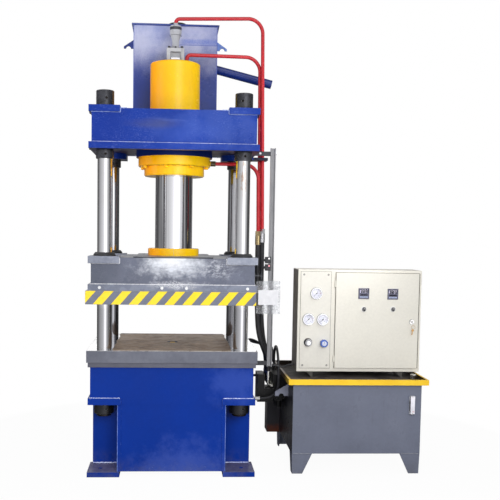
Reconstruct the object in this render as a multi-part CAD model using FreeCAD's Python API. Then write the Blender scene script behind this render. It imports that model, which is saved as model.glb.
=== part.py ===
# Four-column hydraulic press with its power unit. All sizes are in millimetres.
# The origin is the centre of the foundation bolt pattern on the floor, under the ram axis.
# +X runs right towards the power unit, +Y to the back and +Z up.
import FreeCAD, Part
import math
import os

from FreeCAD import Vector

# ---- clearances ----
SEAT_GAP = 0.2           # round pieces that sit in a hole, on the radius
RUN_GAP = 0.08           # running fits, on the radius
SIDE_GAP = 0.3           # faces of neighbouring pieces that do not touch
PANEL_GAP = 3.0          # gap round the doors and panels

# ---- table and bed ----
TABLE_WIDTH = 1100.0
TABLE_DEPTH = 900.0
TABLE_TOP = 826.0
TABLE_THICK = 78.0
SIDE_X = TABLE_WIDTH / 2
TABLE_EDGE_CHAMFER = 2.0
SEAT_PLATE_THICK = 31.0
SEAT_PLATE_INSET = 9.0
BED_INSET = 23.0
BED_WALL = 22.0
POCKET_X = SIDE_X - 201.0          # outer face of the walls beside the corner pockets
POCKET_Y = TABLE_DEPTH / 2 - 225.0 # outer face of the walls behind the corner pockets
POCKET_TOP = 514.0
SEAT_BLOCK_THICK = 42.0
SEAT_BLOCK_PROUD = 14.0
FOOT_THICK = 32.0
FOOT_PROUD = 18.0
FOOT_INNER_X = POCKET_X - 13.0
BOLT_X = SIDE_X - 85.0
BOLT_Y = TABLE_DEPTH / 2 - 105.0
BOLT_HOLE_R = 14.0
EDGE_SET_BACK = 3.0      # lower front plate behind the edges of its side walls

# ---- columns and nuts ----
COLUMN_R = 47.5
COLUMN_X = SIDE_X - 105.0
COLUMN_Y = TABLE_DEPTH / 2 - 110.0
COLUMN_END = 17.0        # column end below the foot nut
FOOT_NUT_R = 64.0
FOOT_NUT_H = 70.0
LOCK_NUT_R = 58.0
LOCK_NUT_H = 57.0
TOP_NUT_R = 57.5
TOP_NUT_H = 103.0
COLUMN_TOP_INSET = 6.0
TOMMY_HOLE_R = 8.0
TOMMY_HOLE_DEPTH = 14.0

# ---- crown ----
CROWN_WIDTH = TABLE_WIDTH - 20.0
CROWN_DEPTH = TABLE_DEPTH
CROWN_BOTTOM = 2108.0
CROWN_STRIP_H = 41.0
CROWN_STRIP_W = 45.0
CROWN_TOP = 2362.0
CROWN_BODY_INSET = 17.0
CROWN_PAD_TOP = 2378.0
CROWN_PAD_H = 41.0
BOSS_R = 101.0           # rounded boss of each corner pad, about its column

# ---- main cylinder ----
BARREL_R = 170.0
BARREL_BORE_R = 140.0
BARREL_TOP = 2727.0
HEAD_THICK = 55.0
SEAT_RING_R = 260.0
SEAT_RING_H = 56.0
FLANGE_RING_R = 245.5
FLANGE_RING_H = 62.0
GLAND_R = 205.0
GLAND_H = 63.0
GLAND_SPIGOT = 50.0
GLAND_BOLT_CIRCLE_R = 225.0
GLAND_BOLT_COUNT = 8
GLAND_BOLT_ANGLE = 30.6  # of the first bolt, from the front towards the right
GLAND_BOLT_AF = 26.0
GLAND_BOLT_H = 14.0
ROD_R = 127.5
PISTON_H = 80.0
STROKE_UP = 450.0
STROKE_DOWN = 50.0
STROKE_SPARE = 5.0
ROD_WAIST_R = 118.0      # groove in the rod that the clamp ring grips
ROD_WAIST_H = 20.0

# ---- slider and platen ----
SLIDER_WIDTH = TABLE_WIDTH - 16.0
SLIDER_DEPTH = TABLE_DEPTH
SLIDER_TOP = 1430.0
SLIDER_BODY_INSET = 17.5
SLIDER_PAD_H = 46.0
SLIDER_FLANGE_BOTTOM = 1210.0
SLIDER_FLANGE_H = 41.0
SLIDER_TOP_STEP = 8.0    # body top below the pads
SLIDER_PLATE_X = 255.0   # half width of the raised top plate
CLAMP_RING_R = 175.0
CLAMP_RING_H = 48.0
PLATEN_PROUD_X = 15.0
PLATEN_PROUD_Y = 7.0
PLATEN_WIDTH = SLIDER_WIDTH + 2 * PLATEN_PROUD_X
PLATEN_DEPTH = SLIDER_DEPTH + 2 * PLATEN_PROUD_Y
PLATEN_THICK = 87.0
PLATEN_CHAMFER = 1.5
BUSH_R = 62.0
BUSH_FLANGE_R = 66.0
BUSH_FLANGE_H = 8.0
BUSH_LENGTH = 150.0
WIPER_R = 71.5
WIPER_H = 23.0
PLATEN_BOLT_X = (-467.0, -71.5, 85.4, 477.0)
PLATEN_BOLT_Z = 1231.0
PLATEN_BOLT_R = 9.5
PLATEN_BOLT_H = 7.0
POUCH_X0 = PLATEN_WIDTH / 2 - 24.0
POUCH_X1 = POUCH_X0 + 154.0
POUCH_Z0 = 1073.0
POUCH_Z1 = 1284.0
POUCH_THICK = 1.6
CARD_MARGIN = 13.0
CARD_HEIGHT = 95.0
CARD_Z0 = 1131.0
CARD_THICK = 0.6
STRIKER_Z = 1300.0
STRIKER_W = 20.0
STRIKER_THICK = 8.0
STRIKER_REACH = 80.0

# ---- filling valve ----
VALVE_FLANGE_R = 78.0
VALVE_FLANGE_H = 22.0
VALVE_BLOCK_W = 118.0
VALVE_BLOCK_D = 110.0
VALVE_BLOCK_H = 78.0
VALVE_RECESS_W = 66.0
VALVE_RECESS_H = 52.0
VALVE_RECESS_D = 26.0
VALVE_SCREW_R = 9.0
VALVE_SCREW_H = 14.0
VALVE_NECK_R = 23.5
VALVE_NECK_H = 58.0      # straight neck above the block
VALVE_BULB_R = 40.0
VALVE_FLARE_H = 51.0
VALVE_BULB_H = 36.0
VALVE_CAP_R = 36.0
VALVE_CAP_H = 13.0
VALVE_PORT_R = 12.0
VALVE_PORT_H = 18.0

# ---- top tank ----
TOP_TANK_HALF_W = 295.0
TOP_TANK_DEPTH = 250.0
TOP_TANK_HEIGHT = 674.0
TOP_TANK_INSET = 14.0    # back wall inside the crown's back edge
LID_THICK = 8.0
LID_OVERHANG = 12.0
COVER_R = 66.0
COVER_H = 9.0
COVER_X = 13.0
HOOK_REACH = 68.0
HOOK_HEIGHT = 60.0
HOOK_TIP_H = 14.0
HOOK_NOTCH_R = 17.0
HOOK_THICK = 12.0
HOOK_DROP = 102.0        # below the tank's top
HOOK_INSET = 20.0        # behind the tank's front
OVERFLOW_R = 31.0
OVERFLOW_WALL = 3.0
OVERFLOW_LENGTH = 414.0
OVERFLOW_SLOPE = 13.5    # degrees down towards its open end
OVERFLOW_RISE = 401.0    # above the crown

# ---- rigid pipes, by the points of their centre lines ----
PIPE_R = 12.5
PIPE_ELBOW_R = 28.0
PILOT_BEND_R = 100.0
PILOT_FOOT = (SIDE_X + 68.0, 25.0, 1620.0)
PILOT_CORNER_X = SIDE_X + 45.0
PILOT_CORNER_Y = 20.0
PILOT_CORNER_RISE = 53.0 # above the valve's port
PILOT_RISE = 29.0
PRESSURE_FOOT = (SIDE_X + 50.0, 62.0, 1620.0)
PRESSURE_CORNER = (SIDE_X + 34.0, 50.0, BARREL_TOP + 73.0)
PRESSURE_PORT_X = 78.0
PRESSURE_PORT_R = 17.0
PRESSURE_PORT_H = 24.0
PRESSURE_RISE = 44.0
RETURN_FOOT = (SIDE_X + 36.0, -5.0, 1604.0)
RETURN_CORNER = (SIDE_X + 30.0, 0.0, 2062.0)
RETURN_PORT_LENGTH = 38.0
RETURN_PORT_R = 18.0
UNION_NUT_H = 32.0
UNION_NUT_AF = 36.0
FERRULE_R = 19.5
FERRULE_H = 62.0
CLAMP_Z = 2090.0
CLAMP_H = 18.0
CLAMP_MARGIN = 12.0

# ---- limit rail ----
RAIL_X0 = SIDE_X + 102.0
RAIL_WIDTH = 34.0
RAIL_DEPTH = 30.0
RAIL_WALL = 4.0
RAIL_Y = -100.0
RAIL_BOTTOM = 672.0
RAIL_TOP = 2166.0
ARM_H = 28.0
ARM_TOP_Z = 2114.0
ARM_BOTTOM_Z = 682.0
ARM_DEPTH = 24.0
SWITCH_W = 38.0
SWITCH_DEPTH = 30.0
SWITCH_H = 44.0
SWITCH_Z = (1336.0, 1386.0)
SENSOR_R = 9.0
SENSOR_LENGTH = 14.0
ARM_BOLT_R = 8.0
ARM_BOLT_H = 7.0

# ---- ejector ----
EJECTOR_ROD_R = 38.0
EJECTOR_BARREL_R = 82.0
EJECTOR_BORE_R = 62.0
EJECTOR_FLANGE_R = 120.0
EJECTOR_FLANGE_H = 26.0
EJECTOR_BOTTOM = 250.0
EJECTOR_CAP_H = 36.0
EJECTOR_GLAND_H = 46.0
EJECTOR_PISTON_H = 50.0
EJECTOR_STROKE = 200.0
EJECTOR_TIP_DEPTH = 3.0
EJECTOR_TIP_R = 20.0
EJECTOR_TIP_H = 14.0
EJECTOR_PORT_Z = (440.0, 560.0)
EJECTOR_PORT_Y = (-60.0, 178.0)
BULKHEAD_R = 11.0
BULKHEAD_NUT_R = 21.0
BULKHEAD_NUT_H = 14.0
BULKHEAD_REACH = (85.0, 48.0)
EJECTOR_FERRULE_R = 13.0
EJECTOR_FERRULE_L = 32.0

# ---- oil tank, tray and cabinet ----
TANK_X0 = SIDE_X + 246.0
TANK_LENGTH = 862.0
TANK_DEPTH = 750.0
TANK_X1 = TANK_X0 + TANK_LENGTH
TANK_Y0 = -TANK_DEPTH / 2
TANK_Y1 = TANK_DEPTH / 2
TANK_BOTTOM = 135.0
TANK_TOP = 600.0
TANK_LEG_TOP_W = 136.0
TANK_LEG_FOOT_W = 68.0
TANK_LEG_THICK = 8.0
TANK_LEG_LAP = 10.0
TANK_HOOK_Y = -169.0
TANK_HOOK_REACH = 90.0
TANK_HOOK_HEIGHT = 84.0
TANK_HOOK_TIP_H = 30.0
TANK_HOOK_NOTCH_R = 18.0
TANK_HOOK_Z = 479.0
WELL_X0 = TANK_X0 - 93.0 # suction well on the tank's left wall, behind the solenoids
WELL_Y0 = 234.0
WELL_Z0 = TANK_BOTTOM - 7.0
TRAY_X0 = TANK_X0 - 32.0
TRAY_X1 = TANK_X1 + 40.0
TRAY_OVERHANG = 28.0
TRAY_HEIGHT = 36.0
TRAY_SHEET = 3.0
TRAY_LIP = 14.0
CABINET_X0 = TANK_X0 + 58.0
CABINET_WIDTH = 856.0
CABINET_X1 = CABINET_X0 + CABINET_WIDTH
CABINET_Y0 = -138.0
CABINET_Y1 = 82.0
CABINET_Z0 = 646.0
CABINET_Z1 = 1348.0
CABINET_SHEET = 3.0
CABINET_FOOT_W = 46.0    # gusset of each foot
CABINET_FOOT_TOE = 10.0
CABINET_FOOT_D = 50.0
CABINET_FOOT_THICK = 6.0
CABINET_FOOT_INSET_X = 114.0
CABINET_FOOT_INSET_Y = 34.0
FRAME_LAP = 14.0         # how far the door and panel lap over the cabinet's front
PANEL_X0 = CABINET_X0 + 19.0
PANEL_X1 = PANEL_X0 + 208.0
PANEL_Z0 = 669.5
PANEL_Z1 = 1333.5
PANEL_THICK = 3.0
PANEL_SCREW_R = 7.0
PANEL_SCREW_H = 3.0
PANEL_SCREW_INSET = 20.0
DOOR_X0 = CABINET_X0 + 260.0
DOOR_X1 = CABINET_X1 - 21.0
DOOR_Z0 = 672.0
DOOR_Z1 = 1328.0
DOOR_DEPTH = 15.0
DOOR_SHEET = 2.0
DOOR_SWING = 110.0
HINGE_R = 5.0
HINGE_PIN_R = 2.5
HINGE_Z = (737.0, 1253.0)
HINGE_LENGTH = 46.0

# ---- instruments ----
GAUGE_PLACES = ((PANEL_X0 + 107.4, 1184.0), (PANEL_X0 + 56.4, 1006.0), (PANEL_X0 + 154.6, 1005.0))
GAUGE_BEZEL_R = 41.0
GAUGE_CASE_R = 37.0
GAUGE_FACE_R = 34.0
GAUGE_PROUD = 13.0
GAUGE_DEPTH = 32.0
GAUGE_DIAL_DEPTH = 9.0
NEEDLE_HUB_R = 4.0
NEEDLE_PIN_R = 1.6
NEEDLE_THICK = 1.2
NEEDLE_LENGTH = 26.0
NEEDLE_TAIL = 9.0
NEEDLE_ZERO = 225.0      # degrees, the rest direction of a needle at the lower left
METER_PLACES = ((DOOR_X0 + 191.0, 1188.0), (DOOR_X0 + 392.7, 1186.0))
METER_SIZE = 74.0
METER_BODY = 67.0
METER_PROUD = 7.0
METER_DEPTH = 70.0
METER_WINDOW_W = 60.0
METER_WINDOW_H = 27.0
METER_WINDOW_DEPTH = 2.5
SELECTOR_PLACES = ((DOOR_X0 + 194.6, 1080.5), (DOOR_X0 + 396.6, 1081.7))
SELECTOR_R = 15.0
SELECTOR_COLLAR_H = 6.0
SELECTOR_GRIP_W = 8.0
SELECTOR_GRIP_H = 15.0
SELECTOR_STEM_R = 8.0
SELECTOR_STEM_L = 26.0
KEY_PLACE = (DOOR_X1 - 44.0, 995.0)
LOCK_R = 16.0
LOCK_FACE_H = 5.0
LOCK_STEM_R = 9.5
LOCK_STEM_L = 36.0
LOCK_CAM_L = 38.0
LOCK_CAM_W = 16.0
KEY_THICK = 2.2
KEY_BOW_R = 12.0
KEY_SHANK_L = 12.0
THROTTLE_PLACE = (PANEL_X0 + 56.5, 847.4)
THROTTLE_R = 24.0
THROTTLE_H = 26.0
PRESSURE_PLACE = (PANEL_X0 + 163.3, 843.3)
PRESSURE_KNOB_R = 26.0
PRESSURE_KNOB_H = 30.0
KNOB_STEM_R = 9.0
KNOB_STEM_L = 40.0
KNOB_COLLAR_R = 15.0
KNOB_COLLAR_H = 8.0
LEVEL_X = TANK_X1 - 64.5
LEVEL_Z0 = 405.0
LEVEL_Z1 = 526.0
LEVEL_W = 34.0
LEVEL_DEPTH = 20.0
LEVEL_TUBE_R = 6.5

# ---- device plate in the cabinet ----
DEVICE_PLATE_INSET_X = (40.0, 20.0)
DEVICE_PLATE_INSET_Z = 60.0
DEVICE_PLATE_THICK = 3.0
STANDOFF_LENGTH = 12.0
STANDOFF_R = 7.0
STANDOFF_INSET = 20.0
DEVICE_ROWS_Z = (1180.0, 980.0)
DEVICE_ROW_INSET = 30.0
DEVICE_RAIL_H = 34.0
DEVICE_RAIL_D = 8.0
DEVICE_COUNT = 5
DEVICE_PITCH = 88.0
DEVICE_W = 46.0
DEVICE_H = 84.0
DEVICE_D = 42.0
TERMINAL_Z = (780.0, 830.0)
TERMINAL_D = 30.0

# ---- motor, pump and valves ----
MOTOR_INSET = 347.0
MOTOR_X0 = TANK_X0 + MOTOR_INSET
MOTOR_LENGTH = 360.0
MOTOR_Y = 245.0
MOTOR_R = 122.0
MOTOR_FIN_H = 14.0
MOTOR_FIN_W = 5.0
MOTOR_FIN_COUNT = 26
MOTOR_AXIS_H = 160.0
MOTOR_SHIELD_L = 24.0
MOTOR_FOOT_W = 216.0
MOTOR_FOOT_L = 70.0
MOTOR_FOOT_H = 16.0
MOTOR_FOOT_INSET = 40.0
MOTOR_WEB_INSET = (8.0, 30.0)
MOTOR_BOX_INSET = 110.0
MOTOR_BOX_L = 130.0
MOTOR_BOX_W = 120.0
MOTOR_BOX_H = 76.0
FAN_COVER_L = 90.0
BELL_LENGTH = 110.0
BELL_R = 100.0
PUMP_LENGTH = 120.0
PUMP_R = 68.0
MANIFOLD_X0 = TANK_X0 - 84.0
MANIFOLD_Y0 = -10.0
MANIFOLD_Y1 = 300.0
MANIFOLD_Z0 = 430.0
MANIFOLD_Z1 = 600.0
SOLENOID_R = 20.0
SOLENOID_L = 66.0
SOLENOID_Y = (20.0, 80.0, 140.0, 200.0)
CONTROL_X0 = SIDE_X + 52.0         # directional valve and its base, left of the manifold
CONTROL_Y = (-10.0, 150.0)
CONTROL_Z = (404.0, 600.0)
CONTROL_BASE_TOP = 498.0
CONTROL_FERRULE_GAP = 6.5
ELBOW_Z = 520.0
ELBOW_X = MANIFOLD_X0 - 34.0
ELBOW_R = 11.0
ELBOW_BEND_R = 22.0
ELBOW_TOP = 620.0
ELBOW_Y = (20.0, 80.0, 140.0)
TOP_PORT_X = MANIFOLD_X0 + 30.0
TOP_PORT_Y = (200.0, 275.0)
TOP_PORT_H = 34.0
BREATHER_X = TANK_X1 - 10.0
BREATHER_Y = -215.0
BREATHER_R = 21.0
BREATHER_H = 30.0
BREATHER_NECK_R = 14.0
BREATHER_NECK_H = 10.0

# ---- free hoses and cable: hand-chosen points of their centre lines ----
HOSE_R = 17.5
EJECTOR_HOSE_R = 9.0
CABLE_R = 6.0
RETURN_ROUTE = ((SIDE_X + 36.0, -5.0, 1390.0), (SIDE_X + 38.0, -3.0, 1150.0), (SIDE_X + 44.0, 0.0, 960.0),
                (SIDE_X + 62.0, 5.0, 855.0), (SIDE_X + 100.0, 14.0, 760.0), (ELBOW_X, ELBOW_Y[0], 690.0))
PILOT_ROUTE = ((SIDE_X + 68.0, 25.0, 1400.0), (SIDE_X + 68.0, 30.0, 1150.0), (SIDE_X + 76.0, 46.0, 965.0),
               (SIDE_X + 90.0, 62.0, 855.0), (SIDE_X + 112.0, 74.0, 765.0), (ELBOW_X, ELBOW_Y[1], 690.0))
PRESSURE_ROUTE = ((SIDE_X + 50.0, 62.0, 1400.0), (SIDE_X + 54.0, 76.0, 1160.0), (SIDE_X + 66.0, 98.0, 970.0),
                  (SIDE_X + 84.0, 118.0, 860.0), (SIDE_X + 110.0, 132.0, 765.0), (ELBOW_X, ELBOW_Y[2], 690.0))
EJECTOR_LOWER_ROUTE = ((SIDE_X + 118.0, -60.0, 440.0), (SIDE_X + 168.0, -60.0, 469.0), (TOP_PORT_X, -60.0, 519.0),
                       (TOP_PORT_X, -60.0, 585.0), (SIDE_X + 190.0, -58.0, 690.0), (SIDE_X + 188.0, -24.0, 752.0),
                       (SIDE_X + 188.0, 36.0, 787.0), (SIDE_X + 189.0, 106.0, 787.0),
                       (SIDE_X + 191.0, 166.0, 752.0), (TOP_PORT_X, TOP_PORT_Y[0], 692.0))
EJECTOR_UPPER_ROUTE = ((SIDE_X + 84.0, 178.0, 560.0), (SIDE_X + 134.0, 180.0, 592.0), (SIDE_X + 158.0, 183.0, 646.0),
                       (SIDE_X + 154.0, 190.0, 708.0), (SIDE_X + 122.0, 204.0, 764.0), (SIDE_X + 68.0, 228.0, 800.0),
                       (SIDE_X + 29.0, 268.0, 811.0), (SIDE_X + 17.0, 328.0, 803.0), (SIDE_X + 28.0, 390.0, 786.0),
                       (SIDE_X + 70.0, 424.0, 768.0), (SIDE_X + 132.0, 418.0, 758.0), (SIDE_X + 176.0, 385.0, 750.0),
                       (TOP_PORT_X, 326.0, 745.0), (TOP_PORT_X, TOP_PORT_Y[1], 703.0))
CABLE_START = (RAIL_X0 + RAIL_WIDTH, RAIL_Y + 6.0, RAIL_BOTTOM + CABLE_R + 2.0)
CABLE_ROUTE = ((SIDE_X + 166.0, CABLE_START[1], CABLE_START[2]), (SIDE_X + 200.0, -92.0, 668.0),
               (SIDE_X + 234.0, -72.0, 666.0), (SIDE_X + 264.0, -52.0, CABLE_START[2]))

# ---- places worked out from the sizes above ----
SEAT_PLATE_TOP = TABLE_TOP - TABLE_THICK
BED_TOP = SEAT_PLATE_TOP - SEAT_PLATE_THICK
BED_X = TABLE_WIDTH / 2 - BED_INSET
BED_Y = TABLE_DEPTH / 2 - BED_INSET
SEAT_BOTTOM = POCKET_TOP - SEAT_BLOCK_THICK
FOOT_NUT_BOTTOM = SEAT_BOTTOM - FOOT_NUT_H
COLUMN_BOTTOM = FOOT_NUT_BOTTOM - COLUMN_END
TOP_NUT_TOP = CROWN_PAD_TOP + TOP_NUT_H
CROWN_BODY_BOTTOM = CROWN_BOTTOM + CROWN_STRIP_H
SEAT_RING_BOTTOM = CROWN_BODY_BOTTOM - SEAT_RING_H
FLANGE_RING_BOTTOM = SEAT_RING_BOTTOM - FLANGE_RING_H
GLAND_BOTTOM = FLANGE_RING_BOTTOM - GLAND_H
GLAND_TOP = FLANGE_RING_BOTTOM + GLAND_SPIGOT
PISTON_BOTTOM = GLAND_TOP + STROKE_DOWN + STROKE_SPARE
SLIDER_X = SLIDER_WIDTH / 2
SLIDER_Y = SLIDER_DEPTH / 2
SLIDER_FLANGE_TOP = SLIDER_FLANGE_BOTTOM + SLIDER_FLANGE_H
SLIDER_BODY_TOP = SLIDER_TOP - SLIDER_TOP_STEP
PLATEN_FRONT = -PLATEN_DEPTH / 2
VALVE_BLOCK_BOTTOM = BARREL_TOP + VALVE_FLANGE_H
VALVE_BLOCK_TOP = VALVE_BLOCK_BOTTOM + VALVE_BLOCK_H
VALVE_NECK_TOP = VALVE_BLOCK_TOP + VALVE_NECK_H
VALVE_BULB_Z = VALVE_NECK_TOP + VALVE_FLARE_H
VALVE_BULB_TOP = VALVE_BULB_Z + VALVE_BULB_H
VALVE_CAP_TOP = VALVE_BULB_TOP + VALVE_CAP_H
VALVE_PORT_TOP = VALVE_CAP_TOP + VALVE_PORT_H
PILOT_CORNER = (PILOT_CORNER_X, PILOT_CORNER_Y, VALVE_PORT_TOP + PILOT_CORNER_RISE)
TOP_TANK_TOP = CROWN_TOP + TOP_TANK_HEIGHT
TOP_TANK_Y0 = CROWN_DEPTH / 2 - TOP_TANK_INSET - TOP_TANK_DEPTH
TRAY_Y0 = TANK_Y0 - TRAY_OVERHANG
TRAY_Y1 = TANK_Y1 + TRAY_OVERHANG
TRAY_FLOOR = TANK_TOP + TRAY_SHEET
TRAY_TOP = TANK_TOP + TRAY_HEIGHT
PANEL_FACE = CABINET_Y0 - PANEL_THICK
DOOR_BACK = CABINET_Y0 - SIDE_GAP
DOOR_FACE = DOOR_BACK - DOOR_DEPTH
HINGE_X = DOOR_X0 - HINGE_R - SIDE_GAP
HINGE_Y = DOOR_FACE + DOOR_DEPTH / 2
CORNERS = ((-1, -1), (1, -1), (-1, 1), (1, 1))


# ---- small helpers ----
def box(x, y, z):
    """Box between the low and high values of each axis, given in either order."""
    low = Vector(min(x), min(y), min(z))
    size = (abs(x[1] - x[0]), abs(y[1] - y[0]), abs(z[1] - z[0]))
    return Part.makeBox(size[0], size[1], size[2], low)


def disc(x, y, z, radius):
    """Upright cylinder between two heights."""
    return Part.makeCylinder(radius, z[1] - z[0], Vector(x, y, z[0]))


def disc_x(x, y, z, radius):
    """Cylinder along X."""
    return Part.makeCylinder(radius, x[1] - x[0], Vector(x[0], y, z), Vector(1, 0, 0))


def disc_y(x, y, z, radius):
    """Cylinder along Y."""
    return Part.makeCylinder(radius, y[1] - y[0], Vector(x, y[0], z), Vector(0, 1, 0))


def join(shapes):
    """One solid from touching or overlapping shapes."""
    shapes = list(shapes)
    result = shapes[0]
    if len(shapes) > 1:
        result = shapes[0].fuse(shapes[1:])
    return result.removeSplitter()


def group(shapes):
    """Separate solids kept together, such as identical nuts."""
    return Part.makeCompound(list(shapes))


def apart(solids, cuts=()):
    """Welded plates kept as separate solids that only touch: each is cut by those before it."""
    kept = []
    for solid in solids:
        rest = solid.cut(kept) if kept else solid
        kept.append(rest)
    holes = list(cuts)
    return group(piece.cut(holes) if holes else piece for piece in kept)


def prism(points, start, along):
    """Polygon face pushed along a vector; start shifts the points."""
    corners = [Vector(*p) + start for p in points]
    corners.append(corners[0])
    return Part.Face(Part.makePolygon(corners)).extrude(along)


def hexagon(centre, across_flats, height, normal):
    """Hexagonal head whose base is centred on a point."""
    axis = Vector(*normal)
    side = Vector(0, 1, 0) if abs(axis.z) > 0.5 else Vector(0, 0, 1)
    other = axis.cross(side)
    reach = across_flats / math.sqrt(3)
    points = []
    for step in range(6):
        turn = math.radians(60 * step)
        points.append(Vector(*centre) + side * (reach * math.cos(turn)) + other * (reach * math.sin(turn)))
    points.append(points[0])
    return Part.Face(Part.makePolygon(points)).extrude(axis * height)


def turned(profile, centre):
    """Solid turned about the upright axis through a point, from radius and height pairs."""
    corners = [Vector(centre[0] + r, centre[1], z) for r, z in profile]
    corners.append(corners[0])
    face = Part.Face(Part.makePolygon(corners))
    return face.revolve(Vector(centre[0], centre[1], 0), Vector(0, 0, 1), 360)


def round_upright_edges(shape, radius, z):
    """Fillet the upright edges that run between two heights at the outer corners."""
    chosen = []
    limits = shape.BoundBox
    for edge in shape.Edges:
        ends = [v.Point for v in edge.Vertexes]
        if len(ends) != 2 or abs(ends[0].x - ends[1].x) > 0.01 or abs(ends[0].y - ends[1].y) > 0.01:
            continue
        at_side = min(abs(ends[0].x - limits.XMin), abs(ends[0].x - limits.XMax)) < 0.01
        at_end = min(abs(ends[0].y - limits.YMin), abs(ends[0].y - limits.YMax)) < 0.01
        low = min(ends[0].z, ends[1].z)
        high = max(ends[0].z, ends[1].z)
        if at_side and at_end and low >= z[0] - 0.01 and high <= z[1] + 0.01:
            chosen.append(edge)
    return shape.makeFillet(radius, chosen)


def path_wire(points, radii):
    """Straight runs joined by tangent arcs, one radius for each inner point."""
    nodes = [Vector(*p) for p in points]
    edges = []
    start = nodes[0]
    for i in range(1, len(nodes) - 1):
        before = (nodes[i] - nodes[i - 1]).normalize()
        after = (nodes[i + 1] - nodes[i]).normalize()
        half = before.getAngle(after) / 2
        back = radii[i - 1] * math.tan(half)
        first = nodes[i] - before * back
        last = nodes[i] + after * back
        bisector = (after - before).normalize()
        middle = nodes[i] + bisector * (radii[i - 1] / math.cos(half) - radii[i - 1])
        edges.append(Part.LineSegment(start, first).toShape())
        edges.append(Part.Arc(first, middle, last).toShape())
        start = last
    edges.append(Part.LineSegment(start, nodes[-1]).toShape())
    return Part.Wire(edges)


def swept(points, radii, radius):
    """Round bar along a path of straight runs and arcs."""
    wire = path_wire(points, radii)
    nodes = [Vector(*p) for p in points]
    ring = Part.Wire([Part.Circle(nodes[0], nodes[1] - nodes[0], radius).toShape()])
    return wire.makePipeShell([ring], True, False)


def cord_radii(points):
    """Arc radius at each inner point of a free cord: as large as its two runs allow."""
    nodes = [Vector(*p) for p in points]
    radii = []
    for i in range(1, len(nodes) - 1):
        before = nodes[i] - nodes[i - 1]
        after = nodes[i + 1] - nodes[i]
        shorter = min(before.Length, after.Length)
        radii.append(0.45 * shorter / math.tan(before.getAngle(after) / 2))
    return radii


def cord(name, points, radius):
    """Free hose or cable; prints its length, bends, runs and how well the volume fits."""
    radii = cord_radii(points)
    solid = swept(points, radii, radius)
    length = path_wire(points, radii).Length
    ratio = solid.Volume / (math.pi * radius ** 2 * length)
    runs = [round((Vector(*b) - Vector(*a)).Length) for a, b in zip(points, points[1:])]
    print(name, "length", round(length), "bends", [round(r) for r in radii], "runs", runs,
          "volume ratio", round(ratio, 4))
    return solid


def corner_pad(sx, sy, half_x, half_y, z):
    """Corner pad with a square outer corner and a rounded boss about the column."""
    inner_x = COLUMN_X - BOSS_R
    inner_y = COLUMN_Y - BOSS_R
    pieces = [
        box((sx * inner_x, sx * half_x), (sy * COLUMN_Y, sy * half_y), z),
        box((sx * COLUMN_X, sx * half_x), (sy * inner_y, sy * half_y), z),
        disc(sx * COLUMN_X, sy * COLUMN_Y, z, BOSS_R),
    ]
    return join(pieces)


def column_holes(z, radius=COLUMN_R + SEAT_GAP):
    """Cutters for the four column holes."""
    return [disc(sx * COLUMN_X, sy * COLUMN_Y, z, radius) for sx, sy in CORNERS]


def tommy_holes(x, y, z, radius, first_angle):
    """Four blind holes round a nut, for the bar that tightens it."""
    holes = []
    for step in range(4):
        turn = math.radians(first_angle + 90 * step)
        out = Vector(math.sin(turn), -math.cos(turn), 0)
        start = Vector(x, y, z) + out * (radius - TOMMY_HOLE_DEPTH)
        holes.append(Part.makeCylinder(TOMMY_HOLE_R, TOMMY_HOLE_DEPTH + 2, start, out))
    return holes


def round_nut(x, y, z, radius, hole_angle):
    """Round nut with chamfered ends and tommy holes, on a column."""
    chamfer = 3.0
    bore = COLUMN_R + SEAT_GAP
    body = turned([(bore, z[0]), (radius - chamfer, z[0]), (radius, z[0] + chamfer),
                   (radius, z[1] - chamfer), (radius - chamfer, z[1]), (bore, z[1])], (x, y))
    return body.cut(tommy_holes(x, y, (z[0] + z[1]) / 2, radius, hole_angle))


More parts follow.
